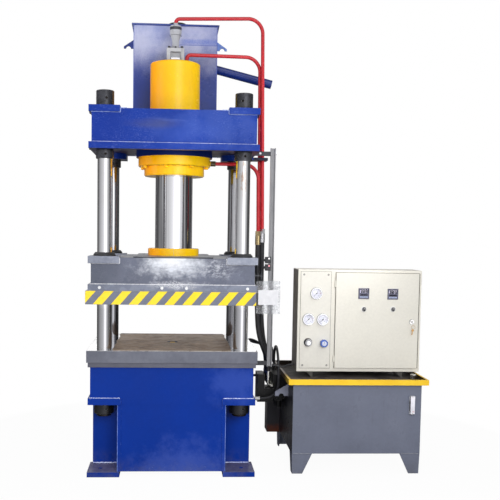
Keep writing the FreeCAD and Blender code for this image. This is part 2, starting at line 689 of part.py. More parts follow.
# ---- press frame ----
def bed_frame():
    """Welded bed: plates round an open chamber, with a nut pocket and a foot at each corner."""
    half_x = BED_X
    half_y = BED_Y
    wall_x = POCKET_X - BED_WALL
    wall_y = POCKET_Y - BED_WALL
    low_z = (FOOT_THICK, SEAT_BOTTOM)
    seat_z = (SEAT_BOTTOM, POCKET_TOP)
    high_z = (POCKET_TOP, BED_TOP)
    plates = []
    for side in (-1, 1):
        front = (side * half_y, side * (half_y - BED_WALL))
        flank = (side * half_x, side * (half_x - BED_WALL))
        plates.append(box((-half_x, half_x), front, high_z))
        plates.append(box((-wall_x, wall_x), front, seat_z))
        plates.append(box((-wall_x, wall_x), (side * (half_y - EDGE_SET_BACK), front[1]), low_z))
        plates.append(box(flank, (-half_y + BED_WALL, half_y - BED_WALL), high_z))
        plates.append(box(flank, (-wall_y, wall_y), (FOOT_THICK, POCKET_TOP)))
    for sx, sy in CORNERS:
        beside = (sx * wall_x, sx * POCKET_X)
        behind = (sy * wall_y, sy * POCKET_Y)
        plates.append(box(beside, (sy * wall_y, sy * half_y), low_z))
        plates.append(box((sx * POCKET_X, sx * half_x), behind, low_z))
        plates.append(box((sx * wall_x, sx * (half_x + SEAT_BLOCK_PROUD)),
                          (sy * wall_y, sy * (half_y + SEAT_BLOCK_PROUD)), seat_z))
        plates.append(box(beside, (sy * wall_y, sy * (half_y - BED_WALL)), high_z))
        plates.append(box((sx * POCKET_X, sx * (half_x - BED_WALL)), behind, high_z))
        plates.append(disc(sx * COLUMN_X, sy * COLUMN_Y, high_z, COLUMN_R + 18))
        plates.append(box((sx * FOOT_INNER_X, sx * (half_x + FOOT_PROUD)),
                          (sy * wall_y, sy * (half_y + FOOT_PROUD)), (0, FOOT_THICK)))
    cuts = column_holes((SEAT_BOTTOM - 1, BED_TOP + 1))
    for sx, sy in CORNERS:
        cuts.append(disc(sx * BOLT_X, sy * BOLT_Y, (-1, FOOT_THICK + 1), BOLT_HOLE_R))
    for y, z in zip(EJECTOR_PORT_Y, EJECTOR_PORT_Z):
        cuts.append(disc_x((half_x - BED_WALL - 1, half_x + 1), y, z, BULKHEAD_R + SEAT_GAP))
    return apart(plates, cuts)


def bed_seat_plate():
    """Ground plate welded on the bed; the table lies on it."""
    half_x = TABLE_WIDTH / 2 - SEAT_PLATE_INSET
    half_y = TABLE_DEPTH / 2 - SEAT_PLATE_INSET
    plate = box((-half_x, half_x), (-half_y, half_y), (BED_TOP, SEAT_PLATE_TOP))
    centre = disc(0, 0, (BED_TOP - 1, SEAT_PLATE_TOP + 1), EJECTOR_ROD_R + 4)
    return plate.cut(column_holes((BED_TOP - 1, SEAT_PLATE_TOP + 1)) + [centre])


def table_plate():
    """Thick work table with chamfered edges, column holes and the ejector bore."""
    half_x = TABLE_WIDTH / 2
    half_y = TABLE_DEPTH / 2
    plate = box((-half_x, half_x), (-half_y, half_y), (SEAT_PLATE_TOP, TABLE_TOP))
    rim = [e for e in plate.Edges if e.BoundBox.ZMin > TABLE_TOP - 0.01]
    plate = plate.makeChamfer(TABLE_EDGE_CHAMFER, rim)
    centre = disc(0, 0, (SEAT_PLATE_TOP - 1, TABLE_TOP + 1), EJECTOR_ROD_R + RUN_GAP)
    return plate.cut(column_holes((SEAT_PLATE_TOP - 1, TABLE_TOP + 1)) + [centre])


def guide_columns():
    """Four ground columns from under the bed seats to inside the top nuts."""
    z = (COLUMN_BOTTOM, TOP_NUT_TOP - COLUMN_TOP_INSET)
    chamfer = 3.0
    columns = []
    for sx, sy in CORNERS:
        outline = [(0, z[0]), (COLUMN_R - chamfer, z[0]), (COLUMN_R, z[0] + chamfer),
                   (COLUMN_R, z[1] - chamfer), (COLUMN_R - chamfer, z[1]), (0, z[1])]
        columns.append(turned(outline, (sx * COLUMN_X, sy * COLUMN_Y)))
    return group(columns)


def column_foot_nuts():
    """Nuts under the bed's seat blocks."""
    z = (FOOT_NUT_BOTTOM, SEAT_BOTTOM)
    return group(round_nut(sx * COLUMN_X, sy * COLUMN_Y, z, FOOT_NUT_R, 18) for sx, sy in CORNERS)


def crown_nuts():
    """Lock nuts under the crown and tall nuts on top of it."""
    nuts = []
    for sx, sy in CORNERS:
        place = (sx * COLUMN_X, sy * COLUMN_Y)
        nuts.append(round_nut(*place, (CROWN_BOTTOM - LOCK_NUT_H, CROWN_BOTTOM), LOCK_NUT_R, 8))
        nuts.append(round_nut(*place, (CROWN_PAD_TOP, TOP_NUT_TOP), TOP_NUT_R, -14 * sx))
    return group(nuts)


def crown_frame():
    """Crown: closed box with corner bosses, bottom strips, cylinder seat ring and pipe clamp."""
    half_x = CROWN_WIDTH / 2
    half_y = CROWN_DEPTH / 2
    inset = CROWN_BODY_INSET
    body = box((-half_x + inset, half_x - inset), (-half_y + inset, half_y - inset),
               (CROWN_BODY_BOTTOM, CROWN_TOP))
    solids = [round_upright_edges(body, 8, (CROWN_BODY_BOTTOM, CROWN_TOP))]
    strip_z = (CROWN_BOTTOM, CROWN_BODY_BOTTOM)
    for sx, sy in CORNERS:
        solids.append(corner_pad(sx, sy, half_x, half_y, strip_z))
        solids.append(corner_pad(sx, sy, half_x, half_y, (CROWN_PAD_TOP - CROWN_PAD_H, CROWN_PAD_TOP)))
    solids.append(box((-half_x, half_x), (-half_y, -half_y + CROWN_STRIP_W), strip_z))
    for side in (-1, 1):
        solids.append(box((side * half_x, side * (half_x - CROWN_STRIP_W)), (-half_y, half_y), strip_z))
    solids.append(disc(0, 0, (SEAT_RING_BOTTOM, CROWN_BODY_BOTTOM), SEAT_RING_R))
    clamp_x = PILOT_FOOT[0] + PIPE_R + CLAMP_MARGIN
    clamp_y = (RETURN_FOOT[1] - PIPE_R - CLAMP_MARGIN, PRESSURE_FOOT[1] + PIPE_R + CLAMP_MARGIN)
    solids.append(box((half_x - CROWN_STRIP_W, half_x), clamp_y, (CLAMP_Z, CROWN_BOTTOM)))
    solids.append(box((half_x, clamp_x), clamp_y, (CLAMP_Z, CLAMP_Z + CLAMP_H)))
    cuts = column_holes((CROWN_BOTTOM - 1, CROWN_PAD_TOP + 1))
    cuts.append(disc(0, 0, (SEAT_RING_BOTTOM - 1, CROWN_TOP + 1), BARREL_R + SEAT_GAP))
    for foot, corner in ((PILOT_FOOT, PILOT_CORNER), (PRESSURE_FOOT, PRESSURE_CORNER)):
        cuts.append(swept([foot, corner], [], PIPE_R + SEAT_GAP))
    return apart(solids, cuts)


# ---- main cylinder and ram ----
def cylinder_barrel():
    """Barrel with its head in one piece, open below, with the pressure port on the head."""
    outline = [(BARREL_BORE_R, FLANGE_RING_BOTTOM), (BARREL_R, FLANGE_RING_BOTTOM),
               (BARREL_R, BARREL_TOP - 6), (BARREL_R - 6, BARREL_TOP), (0, BARREL_TOP),
               (0, BARREL_TOP - HEAD_THICK), (BARREL_BORE_R, BARREL_TOP - HEAD_THICK)]
    barrel = turned(outline, (0, 0))
    port = disc(PRESSURE_PORT_X, 0, (BARREL_TOP - 5, BARREL_TOP + PRESSURE_PORT_H), PRESSURE_PORT_R)
    return join([barrel, port])


def cylinder_flange_ring():
    """Ring screwed on the barrel that pulls it up against the crown, with the return port."""
    z = (FLANGE_RING_BOTTOM, SEAT_RING_BOTTOM)
    ring = disc(0, 0, z, FLANGE_RING_R)
    edges = [e for e in ring.Edges if abs(e.BoundBox.ZMax - z[0]) < 0.01 and e.BoundBox.ZLength < 0.01]
    ring = ring.makeChamfer(5, edges)
    ring = ring.cut(disc(0, 0, (z[0] - 1, z[1] + 1), BARREL_R + SEAT_GAP))
    port = disc_x((FLANGE_RING_R - 12, FLANGE_RING_R + RETURN_PORT_LENGTH), 0, RETURN_CORNER[2], RETURN_PORT_R)
    return join([ring, port])


def gland_ring():
    """Gland that closes the barrel and guides the rod."""
    bore = ROD_R + RUN_GAP
    spigot = BARREL_BORE_R - SEAT_GAP
    outline = [(bore, GLAND_BOTTOM + 4), (bore + 4, GLAND_BOTTOM), (GLAND_R - 6, GLAND_BOTTOM),
               (GLAND_R, GLAND_BOTTOM + 6), (GLAND_R, FLANGE_RING_BOTTOM),
               (spigot, FLANGE_RING_BOTTOM), (spigot, GLAND_TOP), (bore, GLAND_TOP)]
    return turned(outline, (0, 0))


def gland_bolts():
    """Hexagon heads on the flange ring, round the gland."""
    heads = []
    for step in range(GLAND_BOLT_COUNT):
        turn = math.radians(GLAND_BOLT_ANGLE + 360 / GLAND_BOLT_COUNT * step)
        place = (GLAND_BOLT_CIRCLE_R * math.sin(turn), -GLAND_BOLT_CIRCLE_R * math.cos(turn))
        heads.append(hexagon((place[0], place[1], FLANGE_RING_BOTTOM - GLAND_BOLT_H),
                             GLAND_BOLT_AF, GLAND_BOLT_H, (0, 0, 1)))
    return group(heads)


def piston_rod():
    """Piston and rod in one forging, with a waist that the clamp ring grips."""
    top = PISTON_BOTTOM + PISTON_H
    waist = (SLIDER_TOP + CLAMP_RING_H / 2 - ROD_WAIST_H / 2, SLIDER_TOP + CLAMP_RING_H / 2 + ROD_WAIST_H / 2)
    outline = [(0, SLIDER_FLANGE_TOP), (ROD_R, SLIDER_FLANGE_TOP), (ROD_R, waist[0]),
               (ROD_WAIST_R, waist[0]), (ROD_WAIST_R, waist[1]), (ROD_R, waist[1]),
               (ROD_R, PISTON_BOTTOM), (BARREL_BORE_R - RUN_GAP, PISTON_BOTTOM),
               (BARREL_BORE_R - RUN_GAP, top), (0, top)]
    return turned(outline, (0, 0))


def rod_clamp_ring():
    """Split ring round the rod's waist, bolted down on the slider."""
    middle = SLIDER_TOP + CLAMP_RING_H / 2
    lip = ROD_WAIST_H / 2 - SEAT_GAP
    top = SLIDER_TOP + CLAMP_RING_H
    bore = ROD_R + SEAT_GAP
    waist = ROD_WAIST_R + SEAT_GAP
    outline = [(bore, SLIDER_TOP), (CLAMP_RING_R, SLIDER_TOP), (CLAMP_RING_R, top - 3),
               (CLAMP_RING_R - 3, top), (bore, top), (bore, middle + lip), (waist, middle + lip),
               (waist, middle - lip), (bore, middle - lip)]
    ring = turned(outline, (0, 0))
    split = box((-0.5, 0.5), (-CLAMP_RING_R - 1, CLAMP_RING_R + 1), (SLIDER_TOP - 1, top + 1))
    return ring.cut(split)


def slider_frame():
    """Moving crosshead: closed box with corner bosses, a raised top plate and a bottom flange."""
    inset = SLIDER_BODY_INSET
    body = box((-SLIDER_X + inset, SLIDER_X - inset), (-SLIDER_Y + inset, SLIDER_Y - inset),
               (SLIDER_FLANGE_BOTTOM, SLIDER_BODY_TOP))
    solids = [round_upright_edges(body, 6, (SLIDER_FLANGE_BOTTOM, SLIDER_BODY_TOP))]
    solids.append(box((-SLIDER_X, SLIDER_X), (-SLIDER_Y, SLIDER_Y), (SLIDER_FLANGE_BOTTOM, SLIDER_FLANGE_TOP)))
    solids.append(box((-SLIDER_PLATE_X, SLIDER_PLATE_X), (-SLIDER_Y + inset, SLIDER_Y - inset),
                      (SLIDER_BODY_TOP - 1, SLIDER_TOP)))
    for sx, sy in CORNERS:
        solids.append(corner_pad(sx, sy, SLIDER_X, SLIDER_Y, (SLIDER_TOP - SLIDER_PAD_H, SLIDER_TOP)))
    frame = join(solids)
    cuts = column_holes((SLIDER_FLANGE_BOTTOM - 1, SLIDER_TOP + 1), BUSH_R + SEAT_GAP)
    cuts += column_holes((SLIDER_TOP - BUSH_FLANGE_H, SLIDER_TOP + 1), BUSH_FLANGE_R + SEAT_GAP)
    cuts.append(disc(0, 0, (SLIDER_FLANGE_TOP, SLIDER_TOP + 1), ROD_R + SEAT_GAP))
    return frame.cut(cuts)


def slider_bushes():
    """Flanged bronze bushes that run on the columns, let into the corner bosses."""
    bushes = []
    bore = COLUMN_R + RUN_GAP
    for sx, sy in CORNERS:
        outline = [(bore, SLIDER_TOP - BUSH_LENGTH), (BUSH_R, SLIDER_TOP - BUSH_LENGTH),
                   (BUSH_R, SLIDER_TOP - BUSH_FLANGE_H), (BUSH_FLANGE_R, SLIDER_TOP - BUSH_FLANGE_H),
                   (BUSH_FLANGE_R, SLIDER_TOP), (bore, SLIDER_TOP)]
        bushes.append(turned(outline, (sx * COLUMN_X, sy * COLUMN_Y)))
    return group(bushes)


def slider_wipers():
    """Black wiper rings on the corner bosses."""
    rings = []
    bore = COLUMN_R + RUN_GAP
    for sx, sy in CORNERS:
        outline = [(bore, SLIDER_TOP), (WIPER_R, SLIDER_TOP), (WIPER_R, SLIDER_TOP + WIPER_H * 0.4),
                   (WIPER_R - 12, SLIDER_TOP + WIPER_H), (bore, SLIDER_TOP + WIPER_H)]
        rings.append(turned(outline, (sx * COLUMN_X, sy * COLUMN_Y)))
    return group(rings)


def upper_platen():
    """Thick moving platen under the slider, bored to clear the columns."""
    half_x = PLATEN_WIDTH / 2
    half_y = PLATEN_DEPTH / 2
    z = (SLIDER_FLANGE_BOTTOM - PLATEN_THICK, SLIDER_FLANGE_BOTTOM)
    plate = box((-half_x, half_x), (-half_y, half_y), z)
    plate = plate.makeChamfer(PLATEN_CHAMFER, plate.Edges)
    return plate.cut(column_holes((z[0] - 1, z[1] + 1), COLUMN_R + 3))


def platen_bolts():
    """Round-head screws along the front and rear of the slider's flange."""
    heads = []
    for x in PLATEN_BOLT_X:
        heads.append(disc_y(x, (-SLIDER_Y - PLATEN_BOLT_H, -SLIDER_Y), PLATEN_BOLT_Z, PLATEN_BOLT_R))
        heads.append(disc_y(x, (SLIDER_Y, SLIDER_Y + PLATEN_BOLT_H), PLATEN_BOLT_Z, PLATEN_BOLT_R))
    sockets = []
    for head in heads:
        middle = head.BoundBox.Center
        out = -1 if middle.y < 0 else 1
        base = (middle.x, middle.y, PLATEN_BOLT_Z)
        sockets.append(head.cut(hexagon(base, PLATEN_BOLT_R, PLATEN_BOLT_H, (0, out, 0))))
    return group(sockets)


def card_pouch():
    """Clear pouch on the platen's right end with a blank card in it."""
    back = PLATEN_FRONT
    pouch = box((POUCH_X0, POUCH_X1), (back - POUCH_THICK, back), (POUCH_Z0, POUCH_Z1))
    card = box((POUCH_X0 + CARD_MARGIN, POUCH_X1 - CARD_MARGIN),
               (back - POUCH_THICK - CARD_THICK, back - POUCH_THICK), (CARD_Z0, CARD_Z0 + CARD_HEIGHT))
    return group([pouch, card])


def striker_arm():
    """Angle bracket on the slider's side whose end passes in front of the switches."""
    x0 = SLIDER_X - SLIDER_BODY_INSET
    y = RAIL_Y - RAIL_DEPTH / 2 - SWITCH_DEPTH / 2
    foot = box((x0, x0 + STRIKER_THICK), (y - 2 * STRIKER_W, y + STRIKER_W / 2), (STRIKER_Z - 30, STRIKER_Z + 30))
    arm = box((x0, x0 + STRIKER_REACH), (y - STRIKER_W / 2, y + STRIKER_W / 2),
              (STRIKER_Z - STRIKER_THICK / 2, STRIKER_Z + STRIKER_THICK / 2))
    flag = box((x0 + STRIKER_REACH - STRIKER_THICK, x0 + STRIKER_REACH),
               (y - STRIKER_W / 2, y + STRIKER_W / 2), (STRIKER_Z - 24, STRIKER_Z + 24))
    web = prism([(x0, y, STRIKER_Z), (x0 + 50, y, STRIKER_Z), (x0, y, STRIKER_Z + 28)],
                Vector(0, -3, 0), Vector(0, 6, 0))
    return join([foot, arm, flag, web])


# ---- filling valve and top tank ----
def filling_valve_block():
    """Prefill valve block on the cylinder head: flange, recessed block and four cap screws."""
    flange = disc(0, 0, (BARREL_TOP, VALVE_BLOCK_BOTTOM), VALVE_FLANGE_R)
    flange = flange.cut(disc(PRESSURE_PORT_X, 0, (BARREL_TOP - 1, VALVE_BLOCK_BOTTOM + 1), PRESSURE_PORT_R + 2))
    half_w = VALVE_BLOCK_W / 2
    half_d = VALVE_BLOCK_D / 2
    block = box((-half_w, half_w), (-half_d, half_d), (VALVE_BLOCK_BOTTOM, VALVE_BLOCK_TOP))
    block = block.makeChamfer(3, [e for e in block.Edges if e.BoundBox.ZLength > VALVE_BLOCK_H - 1])
    recess = box((-VALVE_RECESS_W / 2, VALVE_RECESS_W / 2), (-half_d - 1, -half_d + VALVE_RECESS_D),
                 (VALVE_BLOCK_BOTTOM, VALVE_BLOCK_BOTTOM + VALVE_RECESS_H))
    block = block.cut(recess)
    screws = []
    for sx, sy in CORNERS:
        place = (sx * (half_w - 16), sy * (half_d - 16))
        screws.append(disc(*place, (VALVE_BLOCK_TOP - 1, VALVE_BLOCK_TOP + VALVE_SCREW_H), VALVE_SCREW_R))
    return join([flange, block] + screws)


def filling_valve_body():
    """Turned valve body: neck, flared bulb, cap ring and the pilot port on top."""
    bulb = VALVE_BULB_R
    outline = [(0, VALVE_BLOCK_TOP), (VALVE_NECK_R + 8, VALVE_BLOCK_TOP), (VALVE_NECK_R + 8, VALVE_BLOCK_TOP + 14),
               (VALVE_NECK_R, VALVE_BLOCK_TOP + 20), (VALVE_NECK_R, VALVE_NECK_TOP), (bulb, VALVE_BULB_Z),
               (bulb, VALVE_BULB_TOP), (VALVE_CAP_R, VALVE_BULB_TOP),
               (VALVE_CAP_R, VALVE_CAP_TOP), (VALVE_PORT_R + 3, VALVE_CAP_TOP),
               (VALVE_PORT_R + 3, VALVE_PORT_TOP), (0, VALVE_PORT_TOP)]
    return turned(outline, (0, 0))


def hook_plate(x, y, top, reach, height, tip, notch_r, side):
    """Lifting hook: sloping top, upright tip and a half-round notch in the lower edge."""
    bottom = top - height
    points = [(x, y, top), (x + side * reach, y, bottom + tip), (x + side * reach, y, bottom), (x, y, bottom)]
    plate = prism(points, Vector(0, 0, 0), Vector(0, HOOK_THICK, 0))
    notch = disc_y(x + side * reach * 0.52, (y - 1, y + HOOK_THICK + 1), bottom, notch_r)
    return plate.cut(notch)


def top_tank():
    """Prefill oil tank on the crown, with two lifting hooks and the sloping overflow pipe."""
    half = TOP_TANK_HALF_W
    y = (TOP_TANK_Y0, TOP_TANK_Y0 + TOP_TANK_DEPTH)
    shell = box((-half, half), y, (CROWN_TOP, TOP_TANK_TOP))
    hooks = [hook_plate(side * half, y[0] + HOOK_INSET, TOP_TANK_TOP - HOOK_DROP, HOOK_REACH, HOOK_HEIGHT, HOOK_TIP_H,
                        HOOK_NOTCH_R, side) for side in (-1, 1)]
    slope = math.radians(OVERFLOW_SLOPE)
    axis = Vector(math.cos(slope), 0, -math.sin(slope))
    start = Vector(half, y[0] + TOP_TANK_DEPTH / 2, CROWN_TOP + OVERFLOW_RISE) - axis * OVERFLOW_R
    outer = Part.makeCylinder(OVERFLOW_R, OVERFLOW_LENGTH + OVERFLOW_R, start, axis)
    bore = Part.makeCylinder(OVERFLOW_R - OVERFLOW_WALL, OVERFLOW_LENGTH, start + axis * 2 * OVERFLOW_R, axis)
    return join([shell, outer] + hooks).cut(bore)


def top_tank_lid():
    """Lid on the top tank with a low round cover."""
    half = TOP_TANK_HALF_W + LID_OVERHANG
    y = (TOP_TANK_Y0 - LID_OVERHANG, TOP_TANK_Y0 + TOP_TANK_DEPTH + LID_OVERHANG)
    lid = box((-half, half), y, (TOP_TANK_TOP, TOP_TANK_TOP + LID_THICK))
    top = TOP_TANK_TOP + LID_THICK
    cover = disc(COVER_X, TOP_TANK_Y0 + TOP_TANK_DEPTH / 2, (top - 1, top + COVER_H), COVER_R)
    return join([lid, cover])


# ---- rigid pipes ----
def union(foot, nut_af):
    """Pipe nut and crimped ferrule hanging from a pipe's foot, in one upright stack."""
    x, y, z = foot
    nut = hexagon((x, y, z - UNION_NUT_H), nut_af, UNION_NUT_H, (0, 0, 1))
    ferrule = disc(x, y, (z - UNION_NUT_H - FERRULE_H, z - UNION_NUT_H), FERRULE_R)
    return join([nut, ferrule])


def level_foot(points, radii, foot):
    """Pipe along a path whose lower end is cut level at its foot."""
    lower = Vector(*points[-2])
    past = Vector(*foot) + (Vector(*foot) - lower).normalize() * PIPE_R
    pipe = swept(points[:-1] + [tuple(past)], radii, PIPE_R)
    waste = box((foot[0] - 3 * PIPE_R, foot[0] + 3 * PIPE_R), (foot[1] - 3 * PIPE_R, foot[1] + 3 * PIPE_R),
                (foot[2] - 3 * PIPE_R, foot[2]))
    return pipe.cut(waste)


def pilot_pipe():
    """Pilot pipe from the filling valve over to the right and down."""
    top = VALVE_PORT_TOP
    points = [(0, 0, top), (0, 0, top + PILOT_RISE), PILOT_CORNER, PILOT_FOOT]
    return level_foot(points, [PIPE_ELBOW_R, PILOT_BEND_R], PILOT_FOOT)


def pressure_pipe():
    """Pressure pipe from the cylinder head over to the right and down behind the pilot pipe."""
    start = BARREL_TOP + PRESSURE_PORT_H
    points = [(PRESSURE_PORT_X, 0, start), (PRESSURE_PORT_X, 0, start + PRESSURE_RISE),
              PRESSURE_CORNER, PRESSURE_FOOT]
    return level_foot(points, [PIPE_ELBOW_R, PILOT_BEND_R], PRESSURE_FOOT)


def return_pipe():
    """Return pipe from the flange ring's port to the right and down."""
    start = (FLANGE_RING_R + RETURN_PORT_LENGTH, 0, RETURN_CORNER[2])
    return level_foot([start, RETURN_CORNER, RETURN_FOOT], [PILOT_BEND_R], RETURN_FOOT)


def pipe_unions():
    """Unions between the three pipes and their hoses."""
    return group(union(foot, UNION_NUT_AF) for foot in (PILOT_FOOT, PRESSURE_FOOT, RETURN_FOOT))


# ---- limit rail ----
def limit_rail():
    """Upright channel that carries the switches, with an arm and bolt at each end."""
    x = (RAIL_X0, RAIL_X0 + RAIL_WIDTH)
    y = (RAIL_Y - RAIL_DEPTH / 2, RAIL_Y + RAIL_DEPTH / 2)
    channel = box(x, y, (RAIL_BOTTOM, RAIL_TOP))
    groove = box((x[0] + RAIL_WALL, x[1] - RAIL_WALL), (y[0] - 1, y[1] - RAIL_WALL), (RAIL_BOTTOM - 1, RAIL_TOP + 1))
    channel = channel.cut(groove)
    arm_y = (RAIL_Y - ARM_DEPTH / 2, RAIL_Y + ARM_DEPTH / 2)
    solids = [channel]
    for z, start in ((ARM_TOP_Z, CROWN_WIDTH / 2), (ARM_BOTTOM_Z, BED_X)):
        solids.append(box((start, x[0] + 1), arm_y, (z, z + ARM_H)))
        solids.append(disc_x((x[1] - 1, x[1] + ARM_BOLT_H), RAIL_Y, z + ARM_H / 2, ARM_BOLT_R))
        inner = disc_y(start + 40, (arm_y[0] - ARM_BOLT_H, arm_y[0] + 1), z + ARM_H / 2, ARM_BOLT_R)
        solids.append(inner)
    return join(solids)


def limit_switches():
    """Two proximity switches on the rail's front, sensing to the left."""
    front = RAIL_Y - RAIL_DEPTH / 2
    switches = []
    for z in SWITCH_Z:
        x1 = RAIL_X0 + RAIL_WIDTH * 0.3
        body = box((x1 - SWITCH_W, x1), (front - SWITCH_DEPTH, front), (z, z + SWITCH_H))
        body = body.makeFillet(3, [e for e in body.Edges if e.BoundBox.YLength > SWITCH_DEPTH - 1])
        nose = disc_x((x1 - SWITCH_W - SENSOR_LENGTH, x1 - SWITCH_W + 1), front - SWITCH_DEPTH / 2,
                      z + SWITCH_H / 2, SENSOR_R)
        switches.append(join([body, nose]))
    return group(switches)


# ---- ejector ----
def ejector_cylinder():
    """Ejector cylinder hung from the seat plate, with its two ports piped to the bed's side."""
    z = (EJECTOR_BOTTOM, BED_TOP)
    outer = [disc(0, 0, z, EJECTOR_BARREL_R), disc(0, 0, (z[1] - EJECTOR_FLANGE_H, z[1]), EJECTOR_FLANGE_R)]
    for y, port_z, reach in zip(EJECTOR_PORT_Y, EJECTOR_PORT_Z, BULKHEAD_REACH):
        end = BED_X + reach
        line = [(0, 0, port_z), (EJECTOR_BARREL_R + 90, y, port_z), (end, y, port_z)]
        outer.append(swept(line, [60], BULKHEAD_R))
        outer.append(disc_x((BED_X, BED_X + BULKHEAD_NUT_H), y, port_z, BULKHEAD_NUT_R))
        outer.append(disc_x((end - EJECTOR_FERRULE_L, end), y, port_z, EJECTOR_FERRULE_R))
    body = join(outer)
    bore = disc(0, 0, (z[0] + EJECTOR_CAP_H, z[1] - EJECTOR_GLAND_H), EJECTOR_BORE_R)
    rod_bore = disc(0, 0, (z[1] - EJECTOR_GLAND_H - 1, z[1] + 1), EJECTOR_ROD_R + RUN_GAP)
    return body.cut([bore, rod_bore])


def ejector_rod():
    """Ejector piston and rod, its narrower tip just below the table's top."""
    bottom = EJECTOR_BOTTOM + EJECTOR_CAP_H + STROKE_SPARE
    tip = TABLE_TOP - EJECTOR_TIP_DEPTH
    shoulder = tip - EJECTOR_TIP_H
    outline = [(0, bottom), (EJECTOR_BORE_R - RUN_GAP, bottom), (EJECTOR_BORE_R - RUN_GAP, bottom + EJECTOR_PISTON_H),
               (EJECTOR_ROD_R, bottom + EJECTOR_PISTON_H), (EJECTOR_ROD_R, shoulder - 2),
               (EJECTOR_ROD_R - 2, shoulder),
               (EJECTOR_TIP_R, shoulder), (EJECTOR_TIP_R, tip - 2), (EJECTOR_TIP_R - 2, tip), (0, tip)]
    return turned(outline, (0, 0))


# ---- power unit ----
def oil_tank():
    """Closed oil tank on four tapered sheet legs, with a lifting hook and a suction well on its left wall."""
    x = (TANK_X0, TANK_X1)
    y = (TANK_Y0, TANK_Y1)
    solids = [box(x, y, (TANK_BOTTOM, TANK_TOP))]
    for side_x, inward in ((x[0], 1), (x[1], -1)):
        for face_y, inward_y in ((y[0], 1), (y[1], -1)):
            outer = side_x + inward * 5
            top = TANK_BOTTOM + TANK_LEG_LAP
            points = [(outer, 0, 0), (outer + inward * TANK_LEG_FOOT_W, 0, 0),
                      (outer + inward * TANK_LEG_TOP_W, 0, top), (outer - inward * 5, 0, top)]
            solids.append(prism(points, Vector(0, face_y, 0), Vector(0, inward_y * TANK_LEG_THICK, 0)))
            points = [(0, 0, 0), (0, inward_y * TANK_LEG_FOOT_W, 0),
                      (0, inward_y * TANK_LEG_TOP_W, top), (0, 0, top)]
            solids.append(prism(points, Vector(outer, face_y, 0), Vector(inward * TANK_LEG_THICK, 0, 0)))
    solids.append(hook_plate(x[0], TANK_HOOK_Y, TANK_HOOK_Z + TANK_HOOK_HEIGHT, TANK_HOOK_REACH,
                             TANK_HOOK_HEIGHT, TANK_HOOK_TIP_H, TANK_HOOK_NOTCH_R, -1))
    well = box((WELL_X0, x[0]), (WELL_Y0, y[1]), (WELL_Z0, MANIFOLD_Z0))
    return group([join(solids), well])


def drip_tray():
    """Shallow folded tray on the tank with an outward lip round its rim."""
    x = (TRAY_X0, TRAY_X1)
    y = (TRAY_Y0, TRAY_Y1)
    sheet = TRAY_SHEET
    block = box(x, y, (TANK_TOP, TRAY_TOP))
    inside = box((x[0] + sheet, x[1] - sheet), (y[0] + sheet, y[1] - sheet), (TRAY_FLOOR, TRAY_TOP + 1))
    tray = block.cut(inside)
    lip_z = (TRAY_TOP - sheet, TRAY_TOP)
    rim = box(x, y, lip_z).cut(box((x[0] + TRAY_LIP, x[1] - TRAY_LIP), (y[0] + TRAY_LIP, y[1] - TRAY_LIP),
                                   (lip_z[0] - 1, lip_z[1] + 1)))
    return join([tray, rim])


def cabinet_foot(x, y, top):
    """Foot of two plates: an upright web and a tapered gusset at its front."""
    web = box((x - CABINET_FOOT_THICK, x), (y - CABINET_FOOT_D / 2, y + CABINET_FOOT_D / 2), (TRAY_FLOOR, top + 1))
    points = [(x, 0, TRAY_FLOOR), (x, 0, top + 1), (x - CABINET_FOOT_W, 0, top + 1),
              (x - CABINET_FOOT_TOE, 0, TRAY_FLOOR)]
    front = Vector(0, y - CABINET_FOOT_D / 2, 0)
    return [web, prism(points, front, Vector(0, CABINET_FOOT_THICK, 0))]


def cabinet_shell():
    """Control cabinet: five sheet walls, a front frame round the panel and door, and four feet."""
    x = (CABINET_X0, CABINET_X1)
    y = (CABINET_Y0, CABINET_Y1)
    z = (CABINET_Z0, CABINET_Z1)
    sheet = CABINET_SHEET
    shell = box(x, y, z)
    shell = shell.cut(box((x[0] + sheet, x[1] - sheet), (y[0] + sheet, y[1] - sheet), (z[0] + sheet, z[1] - sheet)))
    lap = FRAME_LAP
    front = (y[0] - 1, y[0] + sheet + 1)
    shell = shell.cut(box((PANEL_X0 + lap, PANEL_X1 - lap), front, (PANEL_Z0 + lap, PANEL_Z1 - lap)))
    shell = shell.cut(box((DOOR_X0 + lap, DOOR_X1 - lap), front, (DOOR_Z0 + lap, DOOR_Z1 - lap)))
    solids = [shell]
    for foot_x in (x[0] + CABINET_FOOT_INSET_X, x[1] - CABINET_FOOT_INSET_X):
        for foot_y in (y[0] + CABINET_FOOT_INSET_Y, y[1] - CABINET_FOOT_INSET_Y):
            solids += cabinet_foot(foot_x, foot_y, z[0])
    for hinge_z in HINGE_Z:
        low = hinge_z - HINGE_LENGTH / 2
        third = HINGE_LENGTH / 3
        for start in (low, low + 2 * third):
            solids.append(disc(HINGE_X, HINGE_Y, (start, start + third - SIDE_GAP), HINGE_R))
            solids.append(box((HINGE_X - HINGE_R, HINGE_X), (HINGE_Y, y[0] + 1), (start, start + third - SIDE_GAP)))
        solids.append(disc(HINGE_X, HINGE_Y, (low, low + HINGE_LENGTH - SIDE_GAP), HINGE_PIN_R))
    return join(solids)


